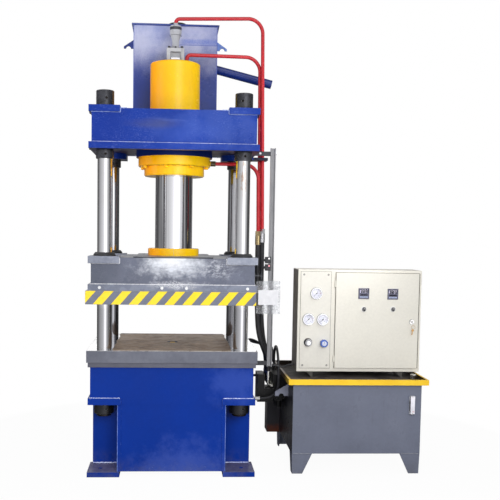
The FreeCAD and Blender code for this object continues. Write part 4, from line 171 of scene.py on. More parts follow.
class Finish(Nodes):
    """One node material of the machine, over object coordinates."""

    def __init__(self, name):
        self.material = bpy.data.materials.new(name)
        self.material.use_nodes = True
        super().__init__(self.material.node_tree)
        self.shader = self.tree.nodes["Principled BSDF"]
        self.place = self.add("TexCoord", out="Object")
        self.normal = self.add("NewGeometry", out="Normal")

    def set(self, **sockets):
        """Inputs of the shader, with _ for each space of their names."""
        for key, value in sockets.items():
            self.put(self.shader.inputs[key.replace("_", " ")], value)
        self.tone = sockets.get("Base_Color", getattr(self, "tone", None))
        return self

    def over(self, colour, *shares):
        """Lay a colour over the tone so far, by the product of the shares."""
        return self.set(Base_Color=self.tint(self.times(*shares), self.tone, colour))

    def tint(self, share, under, over):
        """Colour from under to over by share."""
        return self.add("Mix", {0: share, 6: under, 7: over}, 2, data_type="RGBA")

    def blend(self, share, under, over):
        """Number from under to over by share."""
        return self.add("Mix", {0: share, 2: under, 3: over}, 0, data_type="FLOAT")

    def grown(self, stretch, place=None):
        """Coordinates stretched by three numbers, so that a pattern gets long one way."""
        return self.add("VectorMath", {0: place or self.place, 1: stretch}, 0, operation="MULTIPLY")

    def noise(self, scale, detail=4, roughness=.55, stretch=None, twist=0):
        """Cloudy pattern from 0 to 1, with so many clouds to the metre."""
        vector = self.grown(stretch) if stretch else self.place
        return self.add("TexNoise", {"Vector": vector, "Scale": scale, "Detail": detail,
                                     "Roughness": roughness, "Distortion": twist}, "Fac")

    def spread(self, value, low, high, start=0, end=1):
        """Value between low and high carried to start and end, with soft ends."""
        return self.add("MapRange", {"Value": value, "From Min": low, "From Max": high, "To Min": start,
                                     "To Max": end}, "Result", interpolation_type="SMOOTHSTEP")

    def patch(self, low, high, *noise, start=0, end=1, **more):
        """Noise carried from low and high to start and end."""
        return self.spread(self.noise(*noise, **more), low, high, start, end)

    def mottle(self, under, over, low, high, *noise, **more):
        """Colour that noise moves between two."""
        return self.tint(self.patch(low, high, *noise, **more), under, over)

    def part(self, axis):
        """X, Y or Z of the place, or of the normal after an n; between bars, without its sign."""
        vector = self.normal if "n" in axis else self.place
        value = self.add("SeparateXYZ", {0: vector}, axis.strip("|n"))
        return self.sum("ABSOLUTE", value) if "|" in axis else value

    def above(self, axis, low, high):
        """1 where a part is past high, 0 where it is short of low."""
        return self.spread(self.part(axis), low, high)

    def below(self, axis, low, high):
        """1 where a part is short of low, 0 where it is past high."""
        return self.spread(self.part(axis), low, high, 1, 0)

    def upward(self):
        """1 on faces that look up."""
        return self.above("nZ", .55, .9)

    def within(self, axis, low, high, soft=.004):
        """1 between two planes across an axis, with soft borders."""
        place = self.part(axis)
        return self.times(self.spread(place, low - soft, low + soft),
                          self.spread(place, high - soft, high + soft, 1, 0))

    def blob(self, centre, reach, ragged=0, scale=9):
        """1 at a place, falling to 0 where the distance over the reach is 1, with a ragged border."""
        away = self.add("VectorMath", {0: self.place, 1: centre}, 0, operation="SUBTRACT")
        away = self.grown(tuple(1 / part for part in reach), away)
        size = self.add("VectorMath", {0: away}, "Value", operation="LENGTH")
        if ragged:
            size = self.sum("ADD", size, self.patch(.25, .75, scale, 6, .7, start=-ragged, end=ragged))
        return self.spread(size, .15, 1, 1, 0)

    def scratches(self, scale, stretch=(1, 1, 12), low=.7, high=.78):
        """Thin long marks where a stretched pattern peaks, broken up by a wider one."""
        return self.times(self.patch(low, high, scale * 8, 2, .5, stretch),
                          self.patch(.45, .62, scale / 3, 4, .7))

    def relief(self, height, depth, normal=None, strength=1):
        """Surface normal of a height pattern, its depth in metres."""
        sockets = {"Height": height, "Distance": depth, "Strength": strength}
        if normal:
            sockets["Normal"] = normal
        return self.add("Bump", sockets, "Normal")

    def soft_edges(self, radius):
        """Normal that rounds sharp edges by a radius."""
        return self.add("Bevel", {"Radius": radius}, "Normal", samples=4)

    def edge_share(self, soft):
        """1 along edges, where the rounded normal leaves the flat one."""
        turn = self.add("VectorMath", {0: soft, 1: self.normal}, "Value", operation="DOT_PRODUCT")
        return self.spread(turn, .94, .995, 1, 0)


def scaled(colour, share, more=0):
    """Colour with each part times share, plus more."""
    return tuple(part * share + more for part in colour)


# ---- kinds of surface ----
DUST = (.42, .4, .37)
FLOOR_DIRT = (.12, .11, .1)
BARE_STEEL = (.48, .47, .46)


def enamel(name, colour, roughness, shade=.82, cloud=2.5, dust=.25, wear=.35, coat=0, specular=.3,
           floor_dirt=False, radius=.002, primer=(.22, .22, .23), flat=None):
    """Sprayed paint: uneven tone and gloss, orange peel, dust on top faces and rubbed edges."""
    f = Finish(name)
    soft = f.soft_edges(radius)
    if flat:
        soft = f.add("Mix", {0: flat(f), 4: soft, 5: f.normal}, 1, data_type="VECTOR")
    clouds = f.noise(cloud, 6, .6)
    settled = f.times(f.upward(), f.patch(.3, .75, 9, 5, .7, start=.25))
    gloss = f.patch(.3, .75, 7, 5, .65, start=roughness * .8, end=roughness * 1.45)
    f.set(Base_Color=f.tint(f.spread(clouds, .32, .7), scaled(colour, shade), colour),
          Roughness=f.sum("ADD", gloss, f.times(settled, .2 * min(1, dust * 3))),
          Normal=f.relief(f.noise(420, 2), .0004, f.relief(clouds, .004, soft, .25), .35),
          Specular_IOR_Level=specular)
    f.over(scaled(colour, 1.25), f.patch(.3, .75, 60, 3, end=.16))
    f.over(DUST, settled, dust)
    f.over(primer, f.edge_share(soft), f.patch(.52, .66, 38, 5, .7), wear)
    if floor_dirt:
        f.over(FLOOR_DIRT, f.below("Z", 0, .16), f.patch(.35, .7, 14, 6, .7), .35)
    if coat:
        f.set(Coat_Weight=coat, Coat_Roughness=.08)
    return f


def bright_steel(name, colour, roughness, grain=(1, 1, 1), grain_scale=200, marks=.15):
    """Bare or plated metal: fine grain, uneven shine, faint stains."""
    f = Finish(name)
    grainy = f.noise(grain_scale, 4, .6, grain)
    stain = f.patch(.4, .75, 11, 6, .7)
    gloss = f.spread(grainy, .3, .7, roughness * .7, roughness * 1.3)
    return f.set(Base_Color=f.tint(f.times(stain, marks), colour, scaled(colour, .55)), Metallic=1,
                 Roughness=f.sum("ADD", gloss, f.times(stain, .08)),
                 Normal=f.relief(grainy, .00012, f.soft_edges(.001), .4))


def moulded(name, colour, roughness):
    """Moulded plastic or rubber: fine pebble, slight fade and scuffs."""
    f = Finish(name)
    f.set(Base_Color=f.mottle(scaled(colour, .85), scaled(colour, 1.15), .3, .75, 14, 4),
          Roughness=f.patch(.3, .7, 33, 4, start=roughness * .85, end=roughness * 1.2),
          Normal=f.relief(f.noise(700, 2), .0002, f.soft_edges(.001), .35), Specular_IOR_Level=.5)
    return f.over(scaled(colour, .5, .15), f.patch(.62, .75, 55, 6, .75), .18)


def blackened_steel(name, colour, roughness):
    """Blackened steel of nuts and brackets, bright where edges have rubbed."""
    f = Finish(name)
    soft = f.soft_edges(.0025)
    blotch = f.patch(.35, .7, 16, 6, .7)
    f.set(Base_Color=f.tint(blotch, colour, scaled(colour, 1.9)), Metallic=.6,
          Roughness=f.spread(blotch, 0, 1, roughness, roughness * 1.4),
          Normal=f.relief(f.noise(300, 3, .6, (1, 1, .05)), .0002, soft, .4))
    return f.over(BARE_STEEL, f.edge_share(soft), f.patch(.4, .6, 70, 4, .7), .6)


def valve_paint(name, dark, colour):
    """Light grey paint of the filling valve, blackened between two heights."""
    f = enamel(name, colour, .34, cloud=12, dust=.1, coat=.1, radius=.0015, primer=(.6, .6, .62))
    f.over((.02, .02, .028), f.within("Z", *dark, .0015), .93)
    return f.over((.16, .15, .16), f.patch(.5, .7, 40, 6, .75), .35)


def hose_rubber(name, colour, grain):
    """Hose cover: wrapped rubber with a fine lengthwise weave and dusty scuffs."""
    f = Finish(name)
    wrap = f.add("TexWave", {"Vector": f.place, "Scale": grain, "Distortion": .6}, "Fac", bands_direction="Z")
    dusty = f.patch(.42, .72, 18, 6, .7)
    return f.set(Base_Color=f.tint(f.times(dusty, .5), colour, scaled(colour, .6, .035)),
                 Roughness=f.spread(dusty, 0, 1, .38, .6), Normal=f.relief(wrap, .0003, None, .5))


def weld_finish(name, paint, bright, share):
    """Painted weld: rough ripples whose crests carry painted glints."""
    f = Finish(name)
    crest = f.patch(.36, .52, 110, 5, .8)
    patch = f.patch(.35, .6, 9, 4, .7)
    f.set(Base_Color=f.tint(f.times(crest, f.spread(patch, 0, 1, share * .55, share)), paint, bright),
          Roughness=f.spread(crest, 0, 1, .45, .25),
          Normal=f.relief(f.noise(500, 3, .7), .0008, None, .6), Specular_IOR_Level=.4)
    return f.material


def clear_glass(name, tint):
    """Window glass with faint smears."""
    f = Finish(name)
    smear = f.noise(25, 5, .7, twist=.8)
    f.set(Base_Color=f.tint(f.spread(smear, .4, .7), tint, scaled(tint, .94)),
          Transmission_Weight=1, IOR=1.3, Roughness=f.spread(smear, .4, .75, 0, .05),
          Normal=f.relief(smear, .0002, None, .2))
    return f.material


def plain(name, colour, roughness, metallic=0, glow=0):
    """Small part: colour and gloss slightly uneven."""
    f = Finish(name)
    patch = f.noise(70, 4, .65)
    tone = f.tint(f.spread(patch, .3, .7), scaled(colour, .86), colour)
    f.set(Base_Color=tone, Metallic=metallic,
          Roughness=f.spread(patch, .3, .7, roughness * .85, roughness * 1.2),
          Normal=f.relief(f.noise(900, 2), .0001, None, .25))
    if glow:
        f.set(Emission_Color=tone, Emission_Strength=glow)
    return f.material


DRESSED = set(CORDS)


def dress(names, f):
    """Give every material slot of some CAD nodes one finish."""
    for name in names.split():
        obj = COVERS.get(name) or NODES[name]
        if not obj.data.materials:
            obj.data.materials.append(f.material)
        for index in range(len(obj.data.materials)):
            obj.data.materials[index] = f.material
        DRESSED.add(name)
    return f.material


# ---- the machine's finishes ----
BLUE = (.0042, .0345, .292)
RUBBED_BLUE = (.16, .24, .62)
GREY_COAT = (.5, .48, .43)
CHALKED_BLUE = (.2, .26, .55)


def bed_flat(f):
    """1 where the plates of the bed's front and sides lie flush, so that no seam is drawn there."""
    return f.times(f.below("|X|", .325, .33), f.within("Z", .45, .55, .01))


# bed: a pale cloud of painted reflection and pale scuffs low on the front, a paler right shoulder, foot plates
# trodden grey, nut pockets darkened by painted shade
f = enamel("bed_blue_enamel", BLUE, .34, shade=.84, cloud=1.8, dust=.2, specular=.1, floor_dirt=True,
           radius=.003, wear=.6, primer=RUBBED_BLUE, flat=bed_flat)
front = f.part("|nY|")
# painted reflection: a paler cloud low in the middle of the front
f.over((.11, .17, .55), f.blob((.09, -.43, .02), (.42, .3, .3), .25, 11), front, .3)
f.over((.3, .38, .72), f.blob((.05, -.43, 0), (.45, .3, .13), .2), f.patch(.58, .7, 75, 5, .8), .45)
f.over((.1, .17, .6), f.blob((.42, -.43, .62), (.24, .3, .2), .3), .22)
f.over((.2, .27, .66), f.scratches(10), front, .35)
f.over(f.mottle((.095, .085, .135), (.19, .175, .23), .3, .7, 26, 6, .75),
       f.within("Z", .03, .034), f.upward(), .93)
# painted shade inside the nut pockets
f.over((.006, .01, .04), f.within("Z", .36, .473, .03), f.patch(.2, .6, 9, 4), .45,
       f.below("|Y|", .4, .424))
dress("bed_frame", f)

# crown: pale clouds of painted reflection, a deep cloud of painted shade on the left, an oily smear, long
# scratches, an underside made dark by primer and painted shade, rusty near the cylinder
f = enamel("crown_blue_enamel", BLUE, .34, shade=.8, cloud=2.2, dust=.22, coat=.05, specular=.2,
           radius=.003, wear=.75, primer=RUBBED_BLUE)
front = f.part("|nY|")
# painted reflection: pale clouds on the right and middle of the front
f.over((.13, .24, .72), f.blob((.3, -.43, 2.27), (.42, .3, .2), .3, 7), front, .14)
f.over((.13, .22, .66), f.blob((.03, -.43, 2.22), (.3, .3, .12), .3, 8), front, .11)
# painted shade: a deep cloud over the left of the front
f.over((.002, .024, .235), f.blob((-.48, -.43, 2.23), (.3, .3, .26), .2, 8), front, .75)
f.over((.085, .085, .12), f.blob((-.14, -.44, 2.272), (.24, .3, .05), .12, 4),
       f.patch(.2, .6, 9, 3, .5, (.2, 1, 1.5)), .42)
f.over((.2, .28, .66), f.blob((-.04, -.44, 2.295), (.2, .3, .022), .25, 9),
       f.patch(.4, .6, 30, 4, .6, (.2, 1, 2)), .1)
f.over((.27, .35, .75), f.scratches(9, (1, 1, 10), .6, .72), front, .5)
f.over((.22, .3, .72), f.scratches(14, (9, 1, 1), .62, .74), front, .4)
f.over((.35, .42, .8), f.patch(.66, .72, 110, 4, .8), f.patch(.45, .6, 6, 3), front, .5)
f.over((.02, .02, .026), f.above("X", .541, .543), f.below("Z", 2.11, 2.112), .93)
# painted shade: the seat ring under the crown, round the cylinder, made dark navy
out = f.sum("ADD", f.times(f.part("X"), f.part("X")), f.times(f.part("Y"), f.part("Y")))
f.over((.002, .006, .045), f.below("Z", 2.148, 2.1485), f.spread(out, .1, .105, 1, 0), .85)
# underside near black: partly primer, partly painted shade
down = f.below("nZ", -.9, -.6)
f.over((.02, .013, .016), down, .85)
f.over((.16, .055, .03), down, f.blob((0, 0, 2.14), (.47, .47, .3), .4),
       f.patch(.3, .55, 12, 6, .75), .8)
dress("crown_frame", f)

# cylinder and its rings: golden yellow, deeper orange on the left-facing side as painted shade, with a black
# fitting on the return port
f = enamel("cylinder_yellow_enamel", (.99, .6, .003), .2, shade=.93, cloud=4, dust=.06, wear=.3,
           coat=.5, specular=.25, primer=(.62, .34, .03))
# painted shade: the left-facing side turned deeper orange
f.over((.98, .34, .002), f.spread(f.part("nX"), -.95, .1, .85, 0))
f.over((.8, .36, .004), f.patch(.45, .8, 9, 6, .7, (1, 1, .5)), .35)
f.over((.02, .02, .024), f.above("X", .247, .248), .95)
f.over((.3, .16, .01), f.within("Z", 2.028, 2.034, .002), f.patch(.4, .6, 40, 5, .7), .5)
dress("cylinder_barrel cylinder_flange_ring gland_ring gland_bolts rod_clamp_ring", f)

# ejector cylinder: yellow, with plated pipes and bulkhead fittings
f = enamel("ejector_yellow_enamel", (.9, .5, .01), .28, dust=.2, coat=.3)
dress("ejector_cylinder", f.over((.66, .66, .64), f.above("X", .15, .152)))

# slider: pale flange and pads, a bright cloud of painted reflection with painted glints at the front, long
# scratches, a dark band along the top edge, painted shade on the left end
f = enamel("slider_grey_enamel", (.116, .129, .182), .27, shade=.72, cloud=5, dust=.2, coat=.3,
           radius=.003, primer=(.5, .5, .53))
front = f.part("|nY|")
f.over(f.mottle((.14, .158, .22), (.22, .242, .31), .3, .7, 7, 5, .7),
       f.within("Z", 1.205, 1.2505, .0012), .92)
f.over(f.mottle((.22, .24, .31), (.34, .365, .44), .3, .7, 9, 5, .7),
       f.within("Z", 1.385, 1.432, .0012), f.above("|X|", .34, .346), .92)
# painted reflection: a bright cloud in the middle of the front
f.over((.7, .73, .8), f.blob((0, -.433, 1.385), (.3, .3, .125), .3, 14), front,
       f.patch(.3, .62, 30, 6, .75, (.35, 1, 1), start=.35), .95)
# painted highlight: a glint in the cloud
f.over((.88, .89, .92), f.blob((-.01, -.433, 1.415), (.16, .3, .075), .25, 18), front, .7)
# painted reflection: a paler ridge to the right
f.over((.6, .62, .68), f.blob((.27, -.433, 1.36), (.2, .3, .09), .35, 16),
       f.patch(.45, .62, 60, 6, .8, (.5, 1, 1)), front, .7)
# painted highlight along the flange's top weld
f.over((.82, .83, .86), f.blob((.02, -.433, 1.252), (.24, .3, .035), .3, 24),
       f.patch(.42, .6, 160, 5, .8), front, .9)
f.over((.45, .47, .54), f.scratches(16, (1, 1, 7), .62, .72), front, .55)
f.over((.05, .055, .08), f.scratches(12, (8, 1, 1), .6, .72), front, .35)
# a dark band on the front of the raised top plate
f.over((.016, .017, .024), f.within("Z", 1.4205, 1.433, .001), f.below("|X|", .255, .257), front, .9)
# painted shade: the left end of the front darker
f.over((.055, .066, .095), f.blob((-.52, -.433, 1.33), (.22, .3, .2), .2), front, .45)
dress("slider_frame", f)

# columns: near mirror with faint wipe marks and oil, dull and dark at both ends, with painted shade on the
# lower part and on the rear pair
f = Finish("column_chrome")
wipe = f.noise(260, 4, .6, (1, 1, .03))
smear = f.patch(.42, .72, 5, 5, .7, (1, 1, .35))
ends = f.sum("MAXIMUM", f.below("Z", .47, .473), f.above("Z", 2.0505, 2.0515))
gloss = f.sum("ADD", f.spread(wipe, .3, .7, .05, .1), f.times(smear, .06))
f.set(Base_Color=f.tint(f.times(smear, .22), (.8, .8, .82), (.5, .46, .4)), Metallic=1,
      Roughness=f.sum("MAXIMUM", gloss, f.times(ends, .6)), Normal=f.relief(wipe, .00005, None, .3))
f.over(f.mottle((.018, .017, .018), (.06, .05, .045), .3, .7, 30, 5, .7), ends)
f.over((.45, .22, .07), f.blob((.445, -.385, 1.95), (.03, .06, .16), .4, 22),
       f.patch(.4, .6, 90, 4, .7, (1, 1, .2)), .6)
# painted shade: the mirror darker below the platen
f.over((.36, .36, .38), f.below("Z", 1.08, 1.16), f.above("Z", .47, .473), .62)
# painted shade: the rear columns darker still
f.over((.15, .15, .17), f.above("Y", -.05, .05),
       f.patch(.3, .6, 30, 3, .6, (1, 1, .02), start=.55, end=.95), f.spread(f.part("Z"), 1.1, 1.2, 1, .62))
dress("guide_columns", f)

# rod: hard chrome with upright streaks of oil film down its sides, laid there as painted dark reflection as
# well
f = Finish("rod_chrome")
wipe = f.noise(260, 4, .6, (1, 1, .03))
streak = f.patch(.38, .6, 75, 3, .6, (1, 1, .012))
oil_film_and_painted_shade = f.times(streak, f.above("|X|", .018, .075), .75)
f.set(Base_Color=f.tint(oil_film_and_painted_shade, (.84, .84, .86), (.17, .165, .18)), Metallic=1,
      Roughness=f.sum("ADD", f.spread(wipe, .3, .7, .05, .09), f.times(streak, .04)),
      Normal=f.relief(wipe, .00005, None, .3))
dress("piston_rod", f)

# seat plate under the table: dull blue-grey with spots
f = enamel("seat_plate_paint", (.118, .121, .156), .42, shade=.78, cloud=6, dust=.3, wear=.6,
           primer=(.36, .35, .36))
dress("bed_seat_plate", f.over((.3, .28, .25), f.patch(.6, .7, 34, 5, .8), .35))

# work table: rusty working area, bright ground margins at both ends, painted sides
f = Finish("table_ground_steel")
soft = f.soft_edges(.002)
edge = f.sum("ADD", f.part("|X|"), f.patch(.3, .7, 12, 4, .7, start=-.006, end=.006))
margin = f.spread(edge, .381, .389)
top = f.upward()
rust = f.patch(.28, .72, 7, 8, .75, twist=.8)
milled = f.noise(240, 3, .6, (.05, 1, 1))
f.set(Base_Color=f.tint(rust, (.17, .104, .064), (.52, .375, .265)))
f.over((.075, .045, .03), f.patch(.6, .72, 90, 5, .75), .5)
f.over((.56, .47, .38), f.patch(.55, .72, 4.5, 7, .8, twist=1.2), .6)
# painted highlight: a bright speckled band along the front edge
f.over((.9, .87, .82), f.below("Y", -.436, -.412), f.patch(.35, .6, 25, 6, .8), .85)
f.over((.07, .05, .045), f.above("Y", .36, .44), f.patch(.35, .6, 14, 5, .7), .75)
worn = f.times(f.patch(.45, .75, 10, 6, .75), f.spread(f.part("Y"), -.3, .1, .25), .8)
ground = f.tint(worn, (.96, .96, .96), (.42, .38, .34))
f.over(f.tint(f.times(f.spread(milled, .45, .65), .12), ground, (.6, .6, .62)), margin)
work = f.tone
f.set(Base_Color=f.mottle((.085, .09, .118), (.14, .148, .185), .3, .7, 5, 6, .7))
f.over((.32, .27, .22), f.edge_share(soft), f.patch(.45, .6, 50, 5, .7), .7)
f.over(work, top)
shine = f.blend(margin, f.patch(.3, .7, 20, 5, .7, start=.42, end=.62), .06)
height = f.sum("ADD", f.times(milled, .4), f.times(rust, .6))
f.set(Metallic=f.times(top, f.sum("MULTIPLY_ADD", margin, .65, .35)), Roughness=f.blend(top, .45, shine),
      Normal=f.relief(height, .0004, soft, .5))
dress("table_plate", f)

# moving platen: slanting yellow stripes on grey paint on its four sides, bare steel below
STRIPE_PITCH, STRIPE_YELLOW, STRIPE_LEAN, STRIPE_START = .1135, .06, .862, 1.0246
f = Finish("platen_hazard_stripes")
soft = f.soft_edges(.002)
along = f.blend(f.above("|nX|", .45, .55), f.part("X"), f.part("Y"))
slant = f.sum("SUBTRACT", along, f.times(f.part("Z"), STRIPE_LEAN))
slant = f.sum("ADD", slant, f.patch(.3, .7, 140, 3, start=-.001, end=.001))
phase = f.sum("FRACT", f.sum("DIVIDE", f.sum("ADD", slant, STRIPE_START), STRIPE_PITCH))
share = STRIPE_YELLOW / STRIPE_PITCH
grey = f.sum("MAXIMUM", f.spread(phase, share - .012, share + .012), f.spread(phase, 0, .014, 1, 0))
rubbed = f.patch(.3, .8, 24, 6, .75)
f.set(Base_Color=f.tint(rubbed, (.96, .72, .013), (.9, .62, .016)))
f.over(f.tint(rubbed, (.12, .136, .19), (.16, .176, .225)), grey)
border = f.sum("MULTIPLY", f.times(grey, f.sum("SUBTRACT", 1, grey)), 4, clamp=True)
f.over((.28, .15, .05), border, .75)
f.over((.42, .36, .28), f.edge_share(soft), f.patch(.5, .66, 60, 5, .75), .7)
f.over((.16, .12, .08), f.patch(.62, .76, 42, 6, .8), .45)
level = f.above("|nZ|", .6, .8)
f.over((.36, .35, .34), level)
f.set(Metallic=f.times(level, .9), Roughness=f.spread(rubbed, 0, 1, .3, .44),
      Normal=f.relief(f.noise(380, 2), .0003, soft, .3))
dress("upper_platen", f)

# cabinet: pale textured powder coat, darkened on its left side by painted shade, and dark on its feet
f = enamel("cabinet_powder_coat", (.765, .742, .672), .42, shade=.96, cloud=2, dust=.1, wear=.2,
           radius=.0015, primer=GREY_COAT)
# painted shade on the left side
f.over((.155, .125, .11), f.below("nX", -.9, -.6), f.below("X", .86, .87), .8)
f.over((.03, .027, .026), f.below("Z", .6445, .6465), .93)
f.over((.4, .36, .3), f.patch(.58, .74, 22, 6, .8), f.patch(.45, .6, 3, 3), .14)
dress("cabinet_shell cabinet_door", f)
f = enamel("gauge_panel_coat", (.745, .725, .665), .4, shade=.96, cloud=3, dust=.08, wear=.2,
           radius=.001, primer=GREY_COAT)
dress("gauge_panel", f.over((.3, .29, .27), f.below("Y", -.1414, -.1412), .9))

# oil tank: blue-grey, with painted shade making its left end near black, and old oil on its suction well
f = enamel("oil_tank_enamel", (.15, .165, .222), .33, shade=.86, cloud=3, wear=.5, specular=.25,
           floor_dirt=True, radius=.003, primer=(.32, .31, .3))
# painted shade: the left end near black
f.over((.014, .012, .012), f.below("X", .797, .8), .93)
f.over((.11, .028, .012), f.below("X", .79, .796), f.below("Z", .16, .2),
       f.patch(.3, .6, 20, 5, .7), .8)
f.over((.25, .26, .33), f.within("X", .7, .7965, .001), f.within("Y", -.178, -.158, .001),
       f.within("Z", .475, .566, .002), .9)
f.over((.055, .055, .065), f.patch(.6, .74, 20, 4, .6, (1, 1, .12)), f.above("Z", .2, .6), .35)
f.over((.3, .31, .35), f.scratches(9, (9, 1, 1), .64, .74), .4)
dress("oil_tank", f)

# drip tray: yellow rim and sides, dark oily floor, inner walls darkened by painted shade and oil
f = Finish("drip_tray_paint")
soft = f.soft_edges(.002)
patchy = f.patch(.3, .7, 8, 6, .7)
floor = f.times(f.below("Z", .606, .612), f.upward())
inside = f.times(f.below("X", .8, .815), f.above("Y", -.39, -.15))
f.set(Base_Color=f.tint(patchy, (.9, .56, .035), (.96, .64, .045)), Specular_IOR_Level=.15,
      Roughness=f.spread(floor, 0, 1, .32, .62), Normal=f.relief(patchy, .0006, soft, .3))
f.over((.2, .17, .12), f.edge_share(soft), f.patch(.52, .64, 60, 5, .75), .45)
# painted shade with oil stain: the left and rear walls dark
f.over((.05, .018, .012), f.sum("MAXIMUM", inside, f.above("Y", .37, .39)),
       f.patch(.2, .5, 16, 5, .7, start=.75, end=.97))
# painted shade: the inner walls below the rim near black
f.over((.024, .018, .017), f.within("X", .7664, 1.6956, .0005), f.within("Y", -.4006, .4006, .0005),
       f.below("Z", .635, .6356), .95)
f.over(f.mottle((.04, .036, .036), (.125, .108, .1), .35, .65, 5, 6, .7, twist=1), floor)
dress("drip_tray", f)

# top tank: painted reflection of the sky making it pale towards the top, mottled below, with a darker band at
# a seam
f = enamel("top_tank_enamel", (.009, .028, .2), .3, shade=.78, cloud=5, dust=.3, coat=.3,
           radius=.003, primer=CHALKED_BLUE)
body = f.times(f.below("Z", 3.03, 3.034), f.below("|X|", .296, .3))
# painted reflection of the sky: pale towards the top
height = f.sum("ADD", f.part("Z"), f.patch(.2, .8, 4, 4, .6, start=-.06, end=.06))
height = f.sum("ADD", height, f.patch(.3, .7, 210, 3, .7, start=-.055, end=.055))
f.over(f.mottle((.27, .31, .56), (.47, .49, .66), .3, .7, 4, 5, .65),
       f.spread(height, 2.63, 3.03), body, .97)
f.over((.06, .12, .48), f.within("Z", 2.908, 2.944, .012), f.above("X", .02, .06), body,
       f.patch(.3, .7, 260, 3, .6, start=.2, end=.75))
f.over((.03, .07, .36), f.within("Z", 2.9015, 2.9065, .0012), f.above("X", .02, .04), body, .7)
f.over((.045, .085, .4), f.above("|X|", .286, .293), body, .6)
f.over((.012, .04, .27), f.within("Z", 2.34, 2.665, .02), f.above("X", .1, .16),
       f.patch(.3, .6, 14, 5), .35)
f.over((.008, .022, .15), f.above("|X|", .296, .299), .9)
f.over((.13, .22, .56), f.above("X", .296, .299), f.above("Z", 2.84, 2.85), .9)
dress("top_tank", f)

# its lid, with the black cover plate on it
f = enamel("top_tank_lid_enamel", (.05, .085, .36), .3, shade=.8, cloud=5, dust=.3, coat=.3,
           primer=CHALKED_BLUE)
f.over((.2, .24, .46), f.below("X", -.28, .05), f.patch(.3, .7, 9, 4), .6)
f.over((.01, .018, .1), f.above("Z", 3.0405, 3.041), .8)
f.over((.016, .016, .022), f.above("Z", 3.0442, 3.0446), .96)
dress("top_tank_lid", f)

# hose unions: brass on the left pipe, bright zinc on the right one
f = bright_steel("pipe_union_metal", (.8, .8, .82), .24, marks=.2)
dress("pipe_unions", f.over((.58, .45, .24), f.below("X", .601, .602)))

# limit rail: grey, with black arms and bright bolts
f = enamel("rail_grey_paint", (.34, .34, .355), .35, dust=.15, wear=.5)
f.over((.022, .022, .028), f.below("X", .6505, .6515), .95)
heads = f.sum("MAXIMUM", f.above("X", .6862, .6868), f.below("Y", -.1165, -.1155))
dress("limit_rail", f.over((.66, .66, .68), heads, .9))

# zinc plate behind the door: contactors ivory and charcoal by rows, terminals grey
f = bright_steel("device_plate_zinc", (.62, .63, .64), .34, marks=.3)
front = f.below("Y", .058, .0585)
body = f.mottle((.56, .54, .48), (.64, .62, .56), .3, .7, 25, 4)
rows = f.sum("MAXIMUM", f.within("Z", 1.165, 1.195, .001), f.within("Z", .965, .995, .001))
body = f.tint(f.below("Z", .87, .872), f.tint(rows, body, (.05, .05, .055)), (.2, .21, .22))
dress("mounting_plate", f.over(body, front).set(Metallic=f.sum("SUBTRACT", 1, front)))

# selectors: black grip on a chrome collar coloured near white, a painted highlight
f = moulded("selector_plastic", (.018, .018, .022), .3)
dress("selector_left selector_right", f.over((.78, .78, .8), f.above("Y", -.1597, -.1594)))

# clear pouch film, with the white card in front of it
f = Finish("pouch_film_and_card")
card = f.below("Y", -.45872, -.45868)
wrinkle = f.noise(45, 4, .6, twist=1.5)
f.set(Base_Color=f.tint(f.spread(wrinkle, .35, .65), (.62, .63, .66), (.93, .94, .97)), IOR=1.25,
      Transmission_Weight=f.sum("SUBTRACT", .92, f.times(card, .92)),
      Roughness=f.spread(wrinkle, .3, .7, .08, .22), Normal=f.relief(wrinkle, .002, None, .4))
f.over(f.mottle((.66, .66, .69), (.74, .74, .77), .3, .7, 30, 4), card)
dress("card_pouch", f)

# pieces with one kind of surface and no marks of their own
dress("crown_nuts striker_arm", blackened_steel("blackened_nut_steel", (.036, .037, .043), .24))
dress("column_foot_nuts", blackened_steel("foot_nut_steel", (.014, .014, .016), .26))
dress("valve_manifold", blackened_steel("manifold_blackened_steel", (.01, .01, .01), .42))
dress("slider_bushes", bright_steel("bush_bronze", (.72, .47, .22), .3, (1, 1, .05), 160, .4))
dress("platen_bolts", bright_steel("screw_steel", (.86, .86, .86), .42))
dress("pressure_gauges", bright_steel("gauge_bezel_metal", (.82, .82, .83), .18, marks=.1))
dress("door_lock_key", bright_steel("lock_plated_metal", (.78, .77, .76), .16))
dress("throttle_knob", bright_steel("throttle_knob_metal", (.6, .6, .62), .2))
ZINC = dress("filler_breather hose_elbows",
             bright_steel("zinc_plated_fitting", (.66, .65, .6), .26, marks=.25))
dress("slider_wipers", moulded("wiper_rubber", (.022, .022, .024), .5))
dress("limit_switches", moulded("switch_housing", (.02, .02, .024), .38))
dress("needle_top needle_left needle_right", moulded("needle_lacquer", (.015, .015, .017), .35))
dress("panel_meters", moulded("meter_housing", (.12, .12, .175), .42))
dress("pressure_knob", moulded("pressure_knob_plastic", (.03, .11, .5), .28))
dress("level_gauge", moulded("level_gauge_plastic", (.62, .62, .64), .3))
dress("filling_valve_block", valve_paint("valve_block_paint", (2.8275, 2.85), (.52, .53, .57)))
dress("filling_valve_body", valve_paint("valve_body_paint", (2.955, 2.973), (.44, .45, .49)))
dress("pilot_pipe pressure_pipe return_pipe",
      enamel("pipe_red_paint", (.56, .022, .032), .26, shade=.8, dust=.12, wear=.4, coat=.3,
             primer=(.3, .2, .18)))
dress("ejector_rod", enamel("ejector_tip_gold", (.98, .66, .1), .6, dust=.05, specular=0))
MOTOR_GREY = dress("motor", enamel("motor_grey_enamel", (.12, .2, .26), .38, dust=.3, wear=.4))
dress("pump", enamel("pump_iron_paint", (.055, .06, .066), .45, wear=.5))
dress("switch_cable", hose_rubber("cable_sheath", (.03, .03, .034), 900))
dress("return_hose pilot_hose pressure_hose ejector_hose_lower ejector_hose_upper",
      hose_rubber("hose_cover_rubber", (.02, .02, .023), 300))
